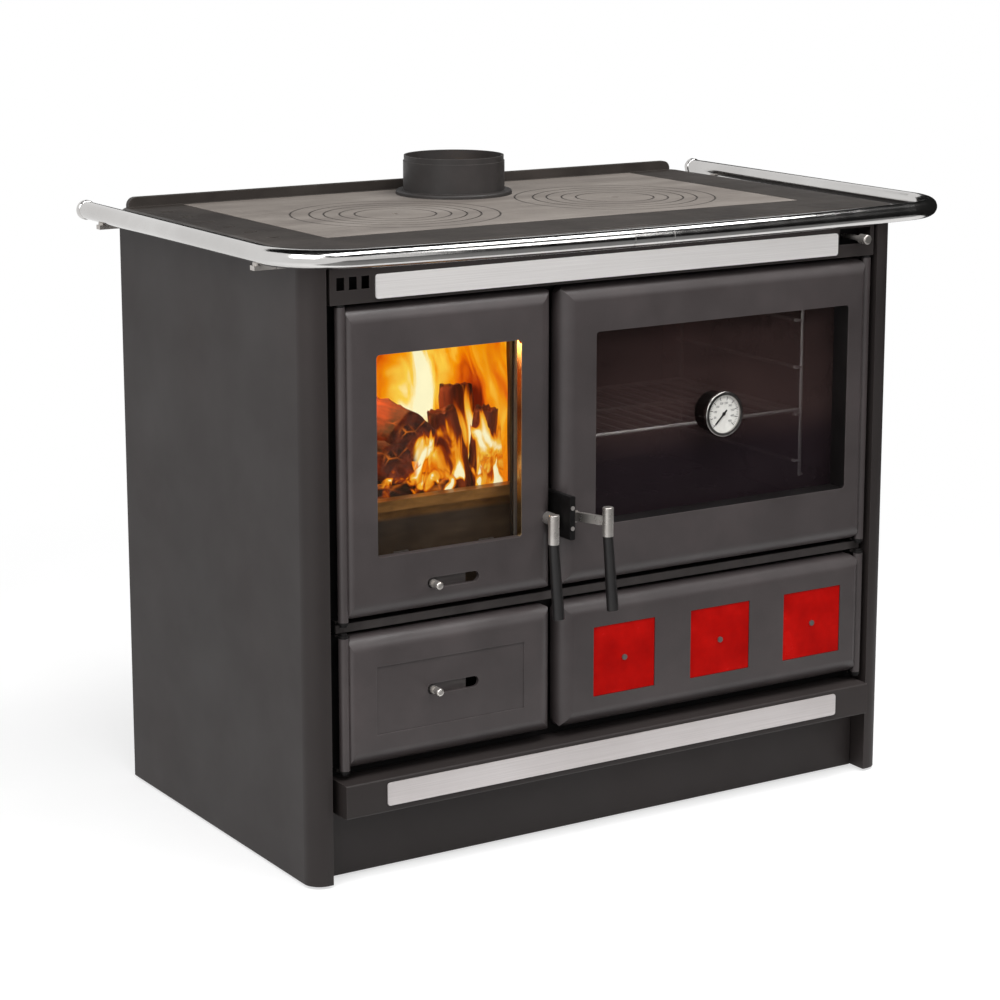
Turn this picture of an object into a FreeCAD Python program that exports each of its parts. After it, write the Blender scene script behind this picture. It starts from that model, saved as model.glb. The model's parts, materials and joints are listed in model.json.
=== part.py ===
"""Wood cookstove: firebox on the left, oven on the right, cast hob on top.

Millimetres, +Z up, front faces -Y, origin on the floor under the middle of the whole stove.
The model is drawn with x = 0 on the body's centre plane, y = 0 on the front faces of the doors
and z = 0 at the lower edge of the side panels, and is moved to its origin on export.
"""
import FreeCAD, Part
import math
import os

V = FreeCAD.Vector

# ---- driving dimensions: overall body ----
BODY_WIDTH = 960.0
BODY_DEPTH = 553.0
FLOOR_GAP = 4.0            # levelling feet under the side panels
SHEET = 2.0                # outer sheet steel
PANEL_RETURN = 31.4        # width of a side panel's front return
PANEL_RETURN_DEPTH = 40.0
PANEL_CORNER = 24.0        # outer radius of a side panel's front corner
PANEL_REAR_FLANGE = 22.0

# ---- front elevation, from the bottom up ----
PLINTH_HEIGHT = 92.0
PLINTH_SETBACK = 30.0
BAR_HEIGHT = 46.0
BAR_PROUD = 18.0
BAR_END_GAP = 11.0
BAR_SHEET = 2.5
BAR_LIFT = 1.0             # joint between plinth and bar
LOWER_DOOR_LIFT = 13.0     # bar top to lower doors
LOWER_DOOR_HEIGHT = 180.0
DOOR_GAP = 22.0
UPPER_DOOR_HEIGHT = 414.0
FASCIA_GAP = 4.0
FASCIA_HEIGHT = 47.0
FASCIA_TOP_GAP = 10.0
FRAME_THICK = 14.0

# ---- front elevation, from the left ----
LEFT_HINGE_INSET = 55.0    # side of the body to a hinge axis
RIGHT_HINGE_INSET = 45.0
HINGE_DEPTH = 9.0          # hinge axis behind the door faces
FIRE_BAY = 377.0           # left side of the body to the free edge of the fire door
POST_GAP = 11.0            # between the left and the right doors

# ---- doors ----
DOOR_DEPTH = 26.0
DOOR_WALL = 7.0
DOOR_CORNER = 14.0
DOOR_SKIRT = 4.0           # straight part of a door's edge behind its bullnose
HINGE_EDGE = 8.0           # rounding along the hinge side
HINGE_BARREL = 7.0
HINGE_TO_PANEL = 5.0
PIN_RADIUS = 3.5
PIN_DEPTH = 14.0
PIN_HEAD_RADIUS = 5.0
PIN_HEAD_HEIGHT = 3.0
PIN_FIT = 0.05
LUG_THICK = 3.0
LUG_GAP = 0.5
WINDOW_CORNER = 5.0
OPENING_CORNER = 1.5           # corners of the openings in the front frame
UPPER_WINDOW_BOTTOM = 81.0     # from the lower edge of the upper doors
UPPER_WINDOW_TOP = 65.0        # below the upper edge of the upper doors
FIRE_WINDOW_LEFT = 43.0        # from the panel edges
FIRE_WINDOW_RIGHT = 52.0
OVEN_WINDOW_LEFT = 56.0
OVEN_WINDOW_RIGHT = 31.0
FIRE_GLASS_DEPTH = 12.0        # front face of the pane behind the door face
OVEN_GLASS_DEPTH = 33.0
GLASS_THICK = 5.0
GLASS_LAP = 5.0
COLLAR_WALL = 7.0
CLIP_WIDTH = 22.0
CLIP_THICK = 3.0
CLIP_BOSS = 5.0
CLIP_BOSS_OFFSET = 13.0        # window edge to the middle of a clip boss
CLIP_INSET = 45.0              # window side to the middle of a clip
GASKET_WIDTH = 8.0
GASKET_SINK = 4.0
GASKET_LAP = 2.0               # opening edge to gasket
SEAL_GAP = 8.0                 # door back to front frame
SOFT_GAP = 0.3                 # left between a seal and what it closes on
SLIDE_GAP = 0.3                # left beside sliding and lifting pieces

# ---- air slides ----
SLOT_LENGTH = 80.0
SLOT_HEIGHT = 15.0
SLOT_LEFT = 117.4              # panel edge to the slot
FIRE_SLOT_RISE = 36.5          # above the lower edge of the fire door
ASH_SLOT_RISE = 92.5
AIR_PLATE_LENGTH = 110.0
AIR_PLATE_HEIGHT = 26.0
AIR_PLATE_THICK = 2.0
AIR_KNOB_RADIUS = 5.5
AIR_KNOB_LENGTH = 10.0
AIR_STEM_RADIUS = 3.5
AIR_STEM_STANDOFF = 11.0       # knob back in front of the door face
AIR_GUIDE = 3.0

# ---- ash door panel and tiles ----
INSET_LEFT = 39.0
INSET_RIGHT = 48.0
INSET_BOTTOM = 43.0
INSET_TOP = 44.0
INSET_DEPTH = 1.2
TILE_WIDTH = 103.0
TILE_HEIGHT = 99.0
TILE_THICK = 8.0
TILE_RECESS = 1.0
TILE_LEFT_MARGIN = 106.6       # left panel edge to the middle of the first tile
TILE_RIGHT_MARGIN = 85.5       # right panel edge to the middle of the last tile
TILE_MID_RISE = 89.0
TILE_COUNT = 3
TILE_FIT = 0.8
TILE_BACKING = 4.0
TILE_SCREW_RADIUS = 2.5
TILE_SCREW_HEAD = 4.0
TILE_SCREW_PROUD = 2.2

# ---- handles ----
HANDLE_RISE = 102.0            # spindle above the lower edge of the upper doors
FIRE_SPINDLE_INSET = 11.0      # free edge of the door to the spindle
OVEN_SPINDLE_INSET = 14.0
SPINDLE_RADIUS = 5.0
HUB_RADIUS = 8.5
HUB_LENGTH = 14.0
FIRE_HANDLE_REACH = 30.5       # sideways, spindle to grip
OVEN_HANDLE_REACH = 20.5
HANDLE_STANDOFF = 62.0
ARM_WIDTH = 12.0
ARM_THICK = 6.0
SLEEVE_RADIUS = 7.5
SLEEVE_LENGTH = 40.0
GRIP_RADIUS = 6.8
GRIP_END_RADIUS = 8.2
GRIP_TO_DOORS = 3.0            # lower end of the grips above the lower doors
GRIP_ROUND = 1.5
GRIP_LEAN = 13.0               # the lower end stands this much further out
TONGUE_WIDTH = 8.0
TONGUE_LENGTH = 12.5           # from the spindle's axis
TONGUE_THICK = 4.0
TONGUE_GAP = 1.0               # tongue to the spindle's end
KEEPER_GAP = 1.0               # door edge to keeper
KEEPER_HEIGHT = 60.0
KEEPER_PROUD = 36.0
KEEPER_NECK = 5.0
KEEPER_RISE = 4.0              # middle of the keeper above the spindles
KEEPER_SCREW = 3.0
KEEPER_SCREW_SPREAD = 14.0

# ---- thermometer ----
GAUGE_RADIUS = 32.0
GAUGE_CASE_RADIUS = 28.5
GAUGE_BEZEL = 6.0
GAUGE_BEZEL_WIDTH = 5.0
GAUGE_DIAL_DEPTH = 3.0
GAUGE_DIAL_THICK = 1.5
GAUGE_STEM_RADIUS = 4.0
GAUGE_STEM_LENGTH = 30.0
GAUGE_DROP = 2.0               # below the middle of the window
NEEDLE_LENGTH = 20.0
NEEDLE_TAIL = 7.0
NEEDLE_WIDTH = 2.2
NEEDLE_THICK = 0.8
NEEDLE_PIVOT = 1.2
NEEDLE_HUB = 2.6
NEEDLE_ANGLE = 225.0           # cold mark, lower left

# ---- front frame ----
FRAME_PLATE = 6.0
FRAME_SIDE_GAP = 4.0
FIRE_OPENING_BOTTOM = 15.0     # above the lower edge of the upper doors
UPPER_OPENING_BOTTOM = 48.0
UPPER_OPENING_TOP = 24.0       # below the upper edge of the upper doors
LOWER_OPENING_BOTTOM = 16.0
LOWER_OPENING_HEIGHT = 150.0
OPENING_INSET = 24.0           # panel edge to opening, hinge side of the left doors
FIRE_OPENING_FREE = 46.0       # free edge of the fire door to its opening
OVEN_OPENING_FREE = 38.0
OVEN_OPENING_HINGE = 22.0
CROSS_BAR_HEIGHT = 11.0
CROSS_BAR_PROUD = 18.0

# ---- fascia, trim and damper ----
TRIM_HEIGHT = 31.5
TRIM_CORNER = 4.0
TRIM_MARGIN = 103.5            # side of the body to the trim strip
TRIM_THICK = 2.0
TOP_TRIM_RISE = 4.0            # above the lower edge of the fascia
BOTTOM_TRIM_RISE = 9.0         # above the lower edge of the bar
FASCIA_END_GAP = 6.0
VENT_WIDTH = 12.0
VENT_HEIGHT = 17.0
VENT_PITCH = 18.2
VENT_COUNT = 3
VENT_FIRST = 53.0              # side of the body to the middle of the first vent
VENT_RISE = 18.0
DAMPER_SLOT_WIDTH = 57.0
DAMPER_SLOT_HEIGHT = 23.0
DAMPER_SLOT_RIGHT = 43.0       # side of the body to the slot
DAMPER_INSET = 67.0            # side of the body to the rod
DAMPER_RISE = 26.0             # rod above the lower edge of the fascia
DAMPER_ROD = 4.0
DAMPER_KNOB_RADIUS = 7.0
DAMPER_KNOB_LENGTH = 16.0
DAMPER_KNOB_PROUD = 14.0
DAMPER_SLOTS = 4
DAMPER_SLOT_RUN = 34.0
DAMPER_SLOT_PITCH = 84.0
DAMPER_TRAVEL = 40.0
DAMPER_PLATE = 2.0
DAMPER_HOLE_FIT = 0.5

# ---- hob ----
FRAME_OVERHANG = 4.0
FRAME_FRONT = 6.0
FRAME_REAR = 6.0
FRAME_CORNER = 26.0
FRAME_EDGE = 8.0
FRAME_VENT_COUNT = 6
FRAME_VENT_LENGTH = 20.0
FRAME_VENT_WIDTH = 6.0
FRAME_VENT_PITCH = 64.0
FRAME_VENT_FIRST = 150.0
FRAME_VENT_INSET = 35.0
LIP_HEIGHT = 14.0
LIP_THICK = 9.0
LIP_MARGIN = 10.0
LIP_ROUND = 12.0
PLATE_MARGIN = 93.0            # side of the body to the hob plate
PLATE_BACK = 18.0              # back of the body to the hob plate
PLATE_DEPTH = 426.0
PLATE_THICK = 10.0
PLATE_FIT = 1.0
PLATE_LEDGE = 8.0
RING_RADIUS = 146.0
RING_BORE = 78.0
RING_GROOVES = (120.0, 100.0)
DISC_GROOVES = (57.0,)
GROOVE_WIDTH = 1.6
GROOVE_DEPTH = 1.0
RING_SPREAD = 185.0            # body centre plane to the middle of a ring
RING_FROM_FRONT = 172.0        # plate front to the middle of a ring
RING_STEP = 6.0                # width of the seating steps
RING_HALF = 5.0                # depth of the seating steps
RING_FIT = 0.6
DISC_HOLE = 5.0
FLUE_RADIUS = 75.0
FLUE_WALL = 4.0
FLUE_HEIGHT = 57.0
FLUE_FROM_BACK = 86.0          # plate back edge to the flue's middle
FLUE_X = 12.0                  # body centre plane to the flue's middle
FLUE_FLANGE = 86.0
FLUE_FLANGE_THICK = 6.0
FLUE_STEP = 1.2                # lead-in at the rim, in radius
FLUE_STEP_HEIGHT = 8.0

# ---- hand rail ----
RAIL_RADIUS = 12.5
RAIL_WALL = 1.5
RAIL_SPREAD = 48.0             # side of the body to the rail's centre line
RAIL_FRONT = 97.0              # door faces to the rail's centre line, in the middle
RAIL_BOW = 21.5
RAIL_CORNER = 95.0
RAIL_Z_DROP = 1.0              # centre line below the hob surface
RAIL_CAP_LENGTH = 10.0
RAIL_CAP_RADIUS = 14.0
RAIL_CAP_KNOB = 8.0
RAIL_CAP_KNOB_LENGTH = 9.0
RAIL_CAP_FIT = 0.2
BRACKET_WIDTH = 12.0
BRACKET_THICK = 6.0
BRACKET_BOSS = 5.0
BRACKET_DROP = 3.0             # bracket top below the tube
FRONT_BRACKET = 36.0           # middle of a bracket to the front of the body
BACK_BRACKET = 48.0            # and to its back
RAIL_JOINTS = (-50.0, 12.5)     # seams of the sleeve in the front run, in x
RAIL_SEAM = 1.0
RAIL_SEAM_DEPTH = 0.5

# ---- inner steelwork ----
BASE_SHEET = 2.0
BASE_LIFT = 3.0
BASE_LIP = 24.0
BASE_FRONT = 36.0
FOOT_RADIUS = 18.0
FOOT_STUD = 5.0
FOOT_STUD_LENGTH = 22.0
FOOT_FIT = 0.1
FOOT_INSET_X = 60.0
FOOT_INSET_Y = 60.0
CASING_SHEET = 3.0
CASING_SIDE = 44.0             # side of the body to a casing
CASING_BACK = 45.0             # back of the body to the casings
CASING_SHORT = 7.0             # firebox casing short of the fire door's free edge
CASING_GAP = 4.0               # between the two casings
ASH_FLOOR_DROP = 5.0           # below the lower openings
OVEN_UNDER = 54.0              # smoke space under the oven
SMOKE_GATE_DROP = 3.0
SMOKE_GATE_FRONT = 20.0
SMOKE_GATE_BACK = 28.0
OVEN_SHEET = 2.0
OVEN_BACK = 83.0               # back of the body to the oven box
LINING = 16.0
LINING_GAP = 10.0
LINING_TOP_DROP = 2.0
LINING_RIB = 4.0               # height of the ribs on the side linings
LINING_RIBS = 7
HEARTH_THICK = 12.0
HEARTH_DROP = 2.0              # hearth below the fire opening
HEARTH_LEDGE = 10.0
HEARTH_LEDGE_THICK = 4.0
GRATE_LENGTH = 240.0
GRATE_WIDTH = 170.0
GRATE_SLOTS = 9
GRATE_SLOT_WIDTH = 8.0
GRATE_EDGE = 14.0
GRATE_FIT = 1.0
RETAINER_HEIGHT = 131.0
RETAINER_GAP = 2.0             # retainer to the side linings
RETAINER_THICK = 5.0
RETAINER_LIP = 14.0
RETAINER_SETBACK = 16.0
ASH_PAN_SHEET = 1.5
ASH_PAN_HEIGHT = 76.0
ASH_PAN_SIDE_GAP = 14.0
ASH_PAN_FRONT_GAP = 22.0
ASH_PAN_BACK_GAP = 40.0
ASH_PAN_HANDLE = 90.0
ASH_PAN_HANDLE_DROP = 14.0
ASH_PAN_HANDLE_ROD = 3.5
GUIDE_WIRE = 2.5
GUIDE_LEVELS = 4
GUIDE_PITCH = 70.0
GUIDE_FIRST = 54.0
GUIDE_FRONT = 70.0
GUIDE_BACK = 60.0
GUIDE_OFFSET = 5.0
GUIDE_REACH = 9.0
SHELF_LEVEL = 1
SHELF_WIRE = 3.0
SHELF_BARS = 15
SHELF_SIDE_GAP = 8.0

LEFT = -BODY_WIDTH / 2
RIGHT = BODY_WIDTH / 2

BAR_Z = PLINTH_HEIGHT + BAR_LIFT
LOWER_Z = BAR_Z + BAR_HEIGHT + LOWER_DOOR_LIFT
LOWER_TOP = LOWER_Z + LOWER_DOOR_HEIGHT
UPPER_Z = LOWER_TOP + DOOR_GAP
UPPER_TOP = UPPER_Z + UPPER_DOOR_HEIGHT
FASCIA_Z = UPPER_TOP + FASCIA_GAP
FASCIA_TOP = FASCIA_Z + FASCIA_HEIGHT
PANEL_TOP = FASCIA_TOP + FASCIA_TOP_GAP
HOB_Z = PANEL_TOP + FRAME_THICK

FRAME_Y = DOOR_DEPTH + SEAL_GAP
CASING_Y = FRAME_Y + FRAME_PLATE
CASING_END = BODY_DEPTH - CASING_BACK

LEFT_HINGE_X = LEFT + LEFT_HINGE_INSET
RIGHT_HINGE_X = RIGHT - RIGHT_HINGE_INSET
FIRE_X0 = LEFT_HINGE_X + HINGE_TO_PANEL
FIRE_X1 = LEFT + FIRE_BAY
OVEN_X0 = FIRE_X1 + POST_GAP
OVEN_X1 = RIGHT_HINGE_X - HINGE_TO_PANEL
DOOR_BULLNOSE = DOOR_DEPTH - DOOR_SKIRT

WINDOW_Z0 = UPPER_Z + UPPER_WINDOW_BOTTOM
WINDOW_Z1 = UPPER_TOP - UPPER_WINDOW_TOP
FIRE_WINDOW = (FIRE_X0 + FIRE_WINDOW_LEFT, FIRE_X1 - FIRE_WINDOW_RIGHT)
OVEN_WINDOW = (OVEN_X0 + OVEN_WINDOW_LEFT, OVEN_X1 - OVEN_WINDOW_RIGHT)

UPPER_OPENING = (UPPER_Z + UPPER_OPENING_BOTTOM, UPPER_TOP - UPPER_OPENING_TOP)
FIRE_OPENING_Z = (UPPER_Z + FIRE_OPENING_BOTTOM, UPPER_OPENING[1])
LOWER_OPENING = (LOWER_Z + LOWER_OPENING_BOTTOM,
                 LOWER_Z + LOWER_OPENING_BOTTOM + LOWER_OPENING_HEIGHT)
FIRE_OPENING = (FIRE_X0 + OPENING_INSET, FIRE_X1 - FIRE_OPENING_FREE)
OVEN_OPENING = (OVEN_X0 + OVEN_OPENING_FREE, OVEN_X1 - OVEN_OPENING_HINGE)

FIRE_OPEN = (FIRE_OPENING, FIRE_OPENING_Z)
ASH_OPEN = (FIRE_OPENING, LOWER_OPENING)
OVEN_OPEN = (OVEN_OPENING, UPPER_OPENING)
STORE_OPEN = (OVEN_OPENING, LOWER_OPENING)

FIRE_CASING = (LEFT + CASING_SIDE, FIRE_X1 - CASING_SHORT)
OVEN_CASING = (FIRE_CASING[1] + CASING_GAP, RIGHT - CASING_SIDE + CASING_GAP)
CASING_Z0 = BASE_LIFT + BASE_SHEET
ASH_FLOOR = LOWER_OPENING[0] - ASH_FLOOR_DROP
OVEN_FLOOR = UPPER_OPENING[0] - OVEN_UNDER
OVEN_BOX_END = BODY_DEPTH - OVEN_BACK
HEARTH_TOP = FIRE_OPENING_Z[0] - HEARTH_DROP
HEARTH_BOTTOM = HEARTH_TOP - HEARTH_THICK
SMOKE_GATE_Z = UPPER_OPENING[1] + SMOKE_GATE_DROP

FIRE_SLOT_Z = UPPER_Z + FIRE_SLOT_RISE
ASH_SLOT_Z = LOWER_Z + ASH_SLOT_RISE
HANDLE_Z = UPPER_Z + HANDLE_RISE
FIRE_SPINDLE_X = FIRE_X1 - FIRE_SPINDLE_INSET
OVEN_SPINDLE_X = OVEN_X0 + OVEN_SPINDLE_INSET
GAUGE_X = (OVEN_WINDOW[0] + OVEN_WINDOW[1]) / 2
GAUGE_Z = (WINDOW_Z0 + WINDOW_Z1) / 2 - GAUGE_DROP

PLATE_X = BODY_WIDTH / 2 - PLATE_MARGIN
PLATE_Y1 = BODY_DEPTH - PLATE_BACK
PLATE_FRONT = PLATE_Y1 - PLATE_DEPTH
PLATE_Z0 = HOB_Z - PLATE_THICK
RING_Y = PLATE_FRONT + RING_FROM_FRONT
FLUE_Y = PLATE_Y1 - FLUE_FROM_BACK

RAIL_X = BODY_WIDTH / 2 + RAIL_SPREAD
RAIL_Z = HOB_Z - RAIL_Z_DROP
RAIL_END_Y = BODY_DEPTH
DAMPER_X = RIGHT - DAMPER_INSET
DAMPER_Z = FASCIA_Z + DAMPER_RISE

REAR_Y = RAIL_END_Y + RAIL_CAP_LENGTH + RAIL_CAP_KNOB_LENGTH
FRONT_Y = -(RAIL_FRONT + RAIL_RADIUS)
ORIGIN_Y = (FRONT_Y + REAR_Y) / 2


# ---- small helpers ----
def block(x0, x1, y0, y1, z0, z1):
    return Part.makeBox(x1 - x0, y1 - y0, z1 - z0, V(x0, y0, z0))


def rod_x(x0, x1, y, z, r):
    return Part.makeCylinder(r, x1 - x0, V(x0, y, z), V(1, 0, 0))


def rod_y(x, y0, y1, z, r):
    return Part.makeCylinder(r, y1 - y0, V(x, y0, z), V(0, 1, 0))


def rod_z(x, y, z0, z1, r):
    return Part.makeCylinder(r, z1 - z0, V(x, y, z0), V(0, 0, 1))


def edges_along(shape, axis):
    """Straight edges parallel to an axis, 0, 1 or 2 for x, y or z."""
    found = []
    for edge in shape.Edges:
        if len(edge.Vertexes) == 2:
            step = edge.Vertexes[1].Point - edge.Vertexes[0].Point
            if abs(step[axis]) > step.Length * 0.999:
                found.append(edge)
    return found


def in_plane(edge, axis, level):
    """Does the edge lie whole in the plane where that coordinate is level?"""
    box = edge.BoundBox
    low = (box.XMin, box.YMin, box.ZMin)[axis]
    high = (box.XMax, box.YMax, box.ZMax)[axis]
    return abs(low - level) < 1e-4 and abs(high - level) < 1e-4


def edges_at(shape, axis, level):
    return [edge for edge in shape.Edges if in_plane(edge, axis, level)]


def rounded(shape, axis, r):
    return shape.makeFillet(r, edges_along(shape, axis))


def soft_block(x0, x1, y0, y1, z0, z1, r, axis):
    return rounded(block(x0, x1, y0, y1, z0, z1), axis, r)


def ring_block(x, y0, y1, z, width):
    """Rectangular ring in the front plane: outer edges x and z, its band inside them."""
    outer = block(x[0], x[1], y0, y1, z[0], z[1])
    return outer.cut(block(x[0] + width, x[1] - width, y0, y1, z[0] + width, z[1] - width))


def fused(shapes):
    whole = shapes[0].multiFuse(shapes[1:]) if len(shapes) > 1 else shapes[0]
    return whole.removeSplitter()


def grown(span, by):
    return (span[0] - by, span[1] + by)


# ---- outer casing ----
def panel_profile():
    """Plan section of the left side panel, as one closed sheet outline."""
    x0 = LEFT
    x1 = LEFT + PANEL_RETURN
    y1 = BODY_DEPTH
    inner = PANEL_CORNER - SHEET
    centre = V(x0 + PANEL_CORNER, PANEL_CORNER, 0)
    slant = math.sqrt(0.5)
    mid_out = centre + V(-slant, -slant, 0) * PANEL_CORNER
    mid_in = centre + V(-slant, -slant, 0) * inner
    outer_arc = Part.Arc(V(centre.x, 0, 0), mid_out, V(x0, centre.y, 0))
    inner_arc = Part.Arc(V(x0 + SHEET, centre.y, 0), mid_in, V(centre.x, SHEET, 0))
    rear = x0 + PANEL_REAR_FLANGE
    points = [
        (V(x1, PANEL_RETURN_DEPTH, 0), V(x1, 0, 0)),
        (V(x1, 0, 0), V(centre.x, 0, 0)),
        outer_arc,
        (V(x0, centre.y, 0), V(x0, y1, 0)),
        (V(x0, y1, 0), V(rear, y1, 0)),
        (V(rear, y1, 0), V(rear, y1 - SHEET, 0)),
        (V(rear, y1 - SHEET, 0), V(x0 + SHEET, y1 - SHEET, 0)),
        (V(x0 + SHEET, y1 - SHEET, 0), V(x0 + SHEET, centre.y, 0)),
        inner_arc,
        (V(centre.x, SHEET, 0), V(x1 - SHEET, SHEET, 0)),
        (V(x1 - SHEET, SHEET, 0), V(x1 - SHEET, PANEL_RETURN_DEPTH, 0)),
        (V(x1 - SHEET, PANEL_RETURN_DEPTH, 0), V(x1, PANEL_RETURN_DEPTH, 0)),
    ]
    edges = []
    for item in points:
        if isinstance(item, tuple):
            edges.append(Part.LineSegment(item[0], item[1]).toShape())
        else:
            edges.append(item.toShape())
    return Part.Face(Part.Wire(edges))


def side_panel_left():
    return panel_profile().extrude(V(0, 0, PANEL_TOP))


def mirrored(shape):
    return shape.mirror(V(0, 0, 0), V(1, 0, 0))


def back_panel():
    edge = PANEL_REAR_FLANGE
    return block(LEFT + edge, RIGHT - edge, BODY_DEPTH - SHEET, BODY_DEPTH, CASING_Z0, PANEL_TOP)


def base_tray():
    x0 = LEFT + SHEET
    x1 = RIGHT - SHEET
    y1 = BODY_DEPTH - SHEET
    tray = block(x0, x1, BASE_FRONT, y1, BASE_LIFT, BASE_LIFT + BASE_LIP)
    hollow = block(x0 + BASE_SHEET, x1 - BASE_SHEET, BASE_FRONT + BASE_SHEET, y1 - BASE_SHEET,
                   BASE_LIFT + BASE_SHEET, BASE_LIFT + BASE_LIP)
    tray = tray.cut(hollow)
    tray = tray.cut(panel_clear())
    for x, y in foot_places():
        tray = tray.cut(rod_z(x, y, 0, BASE_LIFT + BASE_SHEET, FOOT_STUD + FOOT_FIT))
    return tray


def panel_clear():
    """The space of both front returns, which the tray leaves free."""
    reach = PANEL_RETURN_DEPTH + SLIDE_GAP
    left = block(LEFT, LEFT + PANEL_RETURN + SLIDE_GAP, 0, reach, 0, BASE_LIFT + BASE_LIP)
    return left.fuse(mirrored(left))


def foot_places():
    x = BODY_WIDTH / 2 - FOOT_INSET_X
    return [(sx * x, y) for sx in (-1, 1)
            for y in (BASE_FRONT + FOOT_INSET_Y, BODY_DEPTH - FOOT_INSET_Y)]


def levelling_feet():
    feet = []
    for x, y in foot_places():
        pad = rod_z(x, y, -FLOOR_GAP, BASE_LIFT, FOOT_RADIUS)
        stud = rod_z(x, y, -FLOOR_GAP, BASE_LIFT + FOOT_STUD_LENGTH, FOOT_STUD)
        feet.append(fused([pad, stud]))
    return Part.makeCompound(feet)


def plinth():
    half = BODY_WIDTH / 2 - PANEL_RETURN - BASE_SHEET
    face = block(-half, half, PLINTH_SETBACK, PLINTH_SETBACK + SHEET, 0, PLINTH_HEIGHT)
    top = block(-half, half, PLINTH_SETBACK, FRAME_Y + FRAME_PLATE, PLINTH_HEIGHT - SHEET,
                PLINTH_HEIGHT)
    foot = block(-half, half, PLINTH_SETBACK, BASE_FRONT, BASE_LIFT, BASE_LIFT + SHEET)
    return fused([face, top, foot])


def bottom_bar():
    half = BODY_WIDTH / 2 - PANEL_RETURN - BAR_END_GAP
    z1 = BAR_Z + BAR_HEIGHT
    shell = soft_block(-half, half, -BAR_PROUD, FRAME_Y, BAR_Z, z1, BAR_SHEET, 0)
    hollow = block(-half + BAR_SHEET, half - BAR_SHEET, -BAR_PROUD + BAR_SHEET, FRAME_Y,
                   BAR_Z + BAR_SHEET, z1 - BAR_SHEET)
    return shell.cut(hollow)


def trim_strips():
    half = BODY_WIDTH / 2 - TRIM_MARGIN
    strips = []
    for front, z in ((0, FASCIA_Z + TOP_TRIM_RISE),
                     (-BAR_PROUD - TRIM_THICK, BAR_Z + BOTTOM_TRIM_RISE)):
        strips.append(soft_block(-half, half, front, front + TRIM_THICK, z, z + TRIM_HEIGHT,
                                 TRIM_CORNER, 1))
    return Part.makeCompound(strips)


def fascia():
    x0 = LEFT + PANEL_RETURN + FASCIA_END_GAP
    x1 = RIGHT - PANEL_RETURN - FASCIA_END_GAP
    y0 = TRIM_THICK
    plate = block(x0, x1, y0, y0 + SHEET, FASCIA_Z, FASCIA_TOP)
    for end in (x0, x1 - SHEET):
        plate = plate.fuse(block(end, end + SHEET, y0, FRAME_Y, FASCIA_Z, FASCIA_TOP))
    sill = block(x0, x1, y0, FRAME_Y, FASCIA_Z, FASCIA_Z + SHEET)
    plate = plate.fuse(sill)
    for i in range(VENT_COUNT):
        x = LEFT + VENT_FIRST + i * VENT_PITCH
        z = FASCIA_Z + VENT_RISE
        plate = plate.cut(block(x - VENT_WIDTH / 2, x + VENT_WIDTH / 2, y0, y0 + SHEET,
                                z, z + VENT_HEIGHT))
    x = RIGHT - DAMPER_SLOT_RIGHT
    z = FASCIA_Z + VENT_RISE
    plate = plate.cut(block(x - DAMPER_SLOT_WIDTH, x, y0, y0 + SHEET, z, z + DAMPER_SLOT_HEIGHT))
    return plate.removeSplitter()


# ---- front frame and hinges ----
def front_frame():
    x0 = LEFT + PANEL_RETURN + FRAME_SIDE_GAP
    x1 = -x0
    plate = block(x0, x1, FRAME_Y, CASING_Y, PLINTH_HEIGHT, PANEL_TOP)
    for x, z in (FIRE_OPEN, ASH_OPEN, OVEN_OPEN, STORE_OPEN):
        plate = plate.cut(soft_block(x[0], x[1], FRAME_Y, CASING_Y, z[0], z[1],
                                     OPENING_CORNER, 1))
    middle = (LOWER_TOP + UPPER_Z) / 2
    bar = block(LEFT_HINGE_X - HINGE_BARREL, RIGHT_HINGE_X + HINGE_BARREL,
                FRAME_Y - CROSS_BAR_PROUD, FRAME_Y,
                middle - CROSS_BAR_HEIGHT / 2, middle + CROSS_BAR_HEIGHT / 2)
    parts = [plate, bar]
    for x in (LEFT_HINGE_X, RIGHT_HINGE_X):
        for z in lug_levels():
            parts.append(hinge_lug(x, z))
    frame = fused(parts)
    return frame.cut(rod_y(DAMPER_X, FRAME_Y, CASING_Y, DAMPER_Z, DAMPER_ROD + DAMPER_HOLE_FIT))


def lug_levels():
    """Lower face of each hinge lug; the doors turn between them."""
    below = LUG_GAP + LUG_THICK
    return (LOWER_Z - below, LOWER_TOP + LUG_GAP, UPPER_Z - below, UPPER_TOP + LUG_GAP)


def hinge_lug(x, z):
    r = HINGE_BARREL
    lug = rod_z(x, HINGE_DEPTH, z, z + LUG_THICK, r)
    lug = lug.fuse(block(x - r, x + r, HINGE_DEPTH, FRAME_Y, z, z + LUG_THICK))
    return lug.cut(rod_z(x, HINGE_DEPTH, z, z + LUG_THICK, PIN_RADIUS))


def hinge_pins():
    """A headed pin through each lug into the end of the door's barrel."""
    pins = []
    for x in (LEFT_HINGE_X, RIGHT_HINGE_X):
        for i, z in enumerate(lug_levels()):
            lower = i % 2 == 0
            if lower:
                shank = (z, z + LUG_THICK + PIN_DEPTH)
                head = (z - PIN_HEAD_HEIGHT, z)
            else:
                shank = (z - PIN_DEPTH, z + LUG_THICK)
                head = (z + LUG_THICK, z + LUG_THICK + pin_head(i))
            pins.append(fused([rod_z(x, HINGE_DEPTH, shank[0], shank[1], PIN_RADIUS),
                               rod_z(x, HINGE_DEPTH, head[0], head[1], PIN_HEAD_RADIUS)]))
    return Part.makeCompound(pins)


def pin_head(level):
    """The topmost pins sit under the fascia and have a thin head."""
    return FASCIA_GAP - LUG_GAP - LUG_THICK - SLIDE_GAP / 2 if level == 3 else PIN_HEAD_HEIGHT


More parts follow.
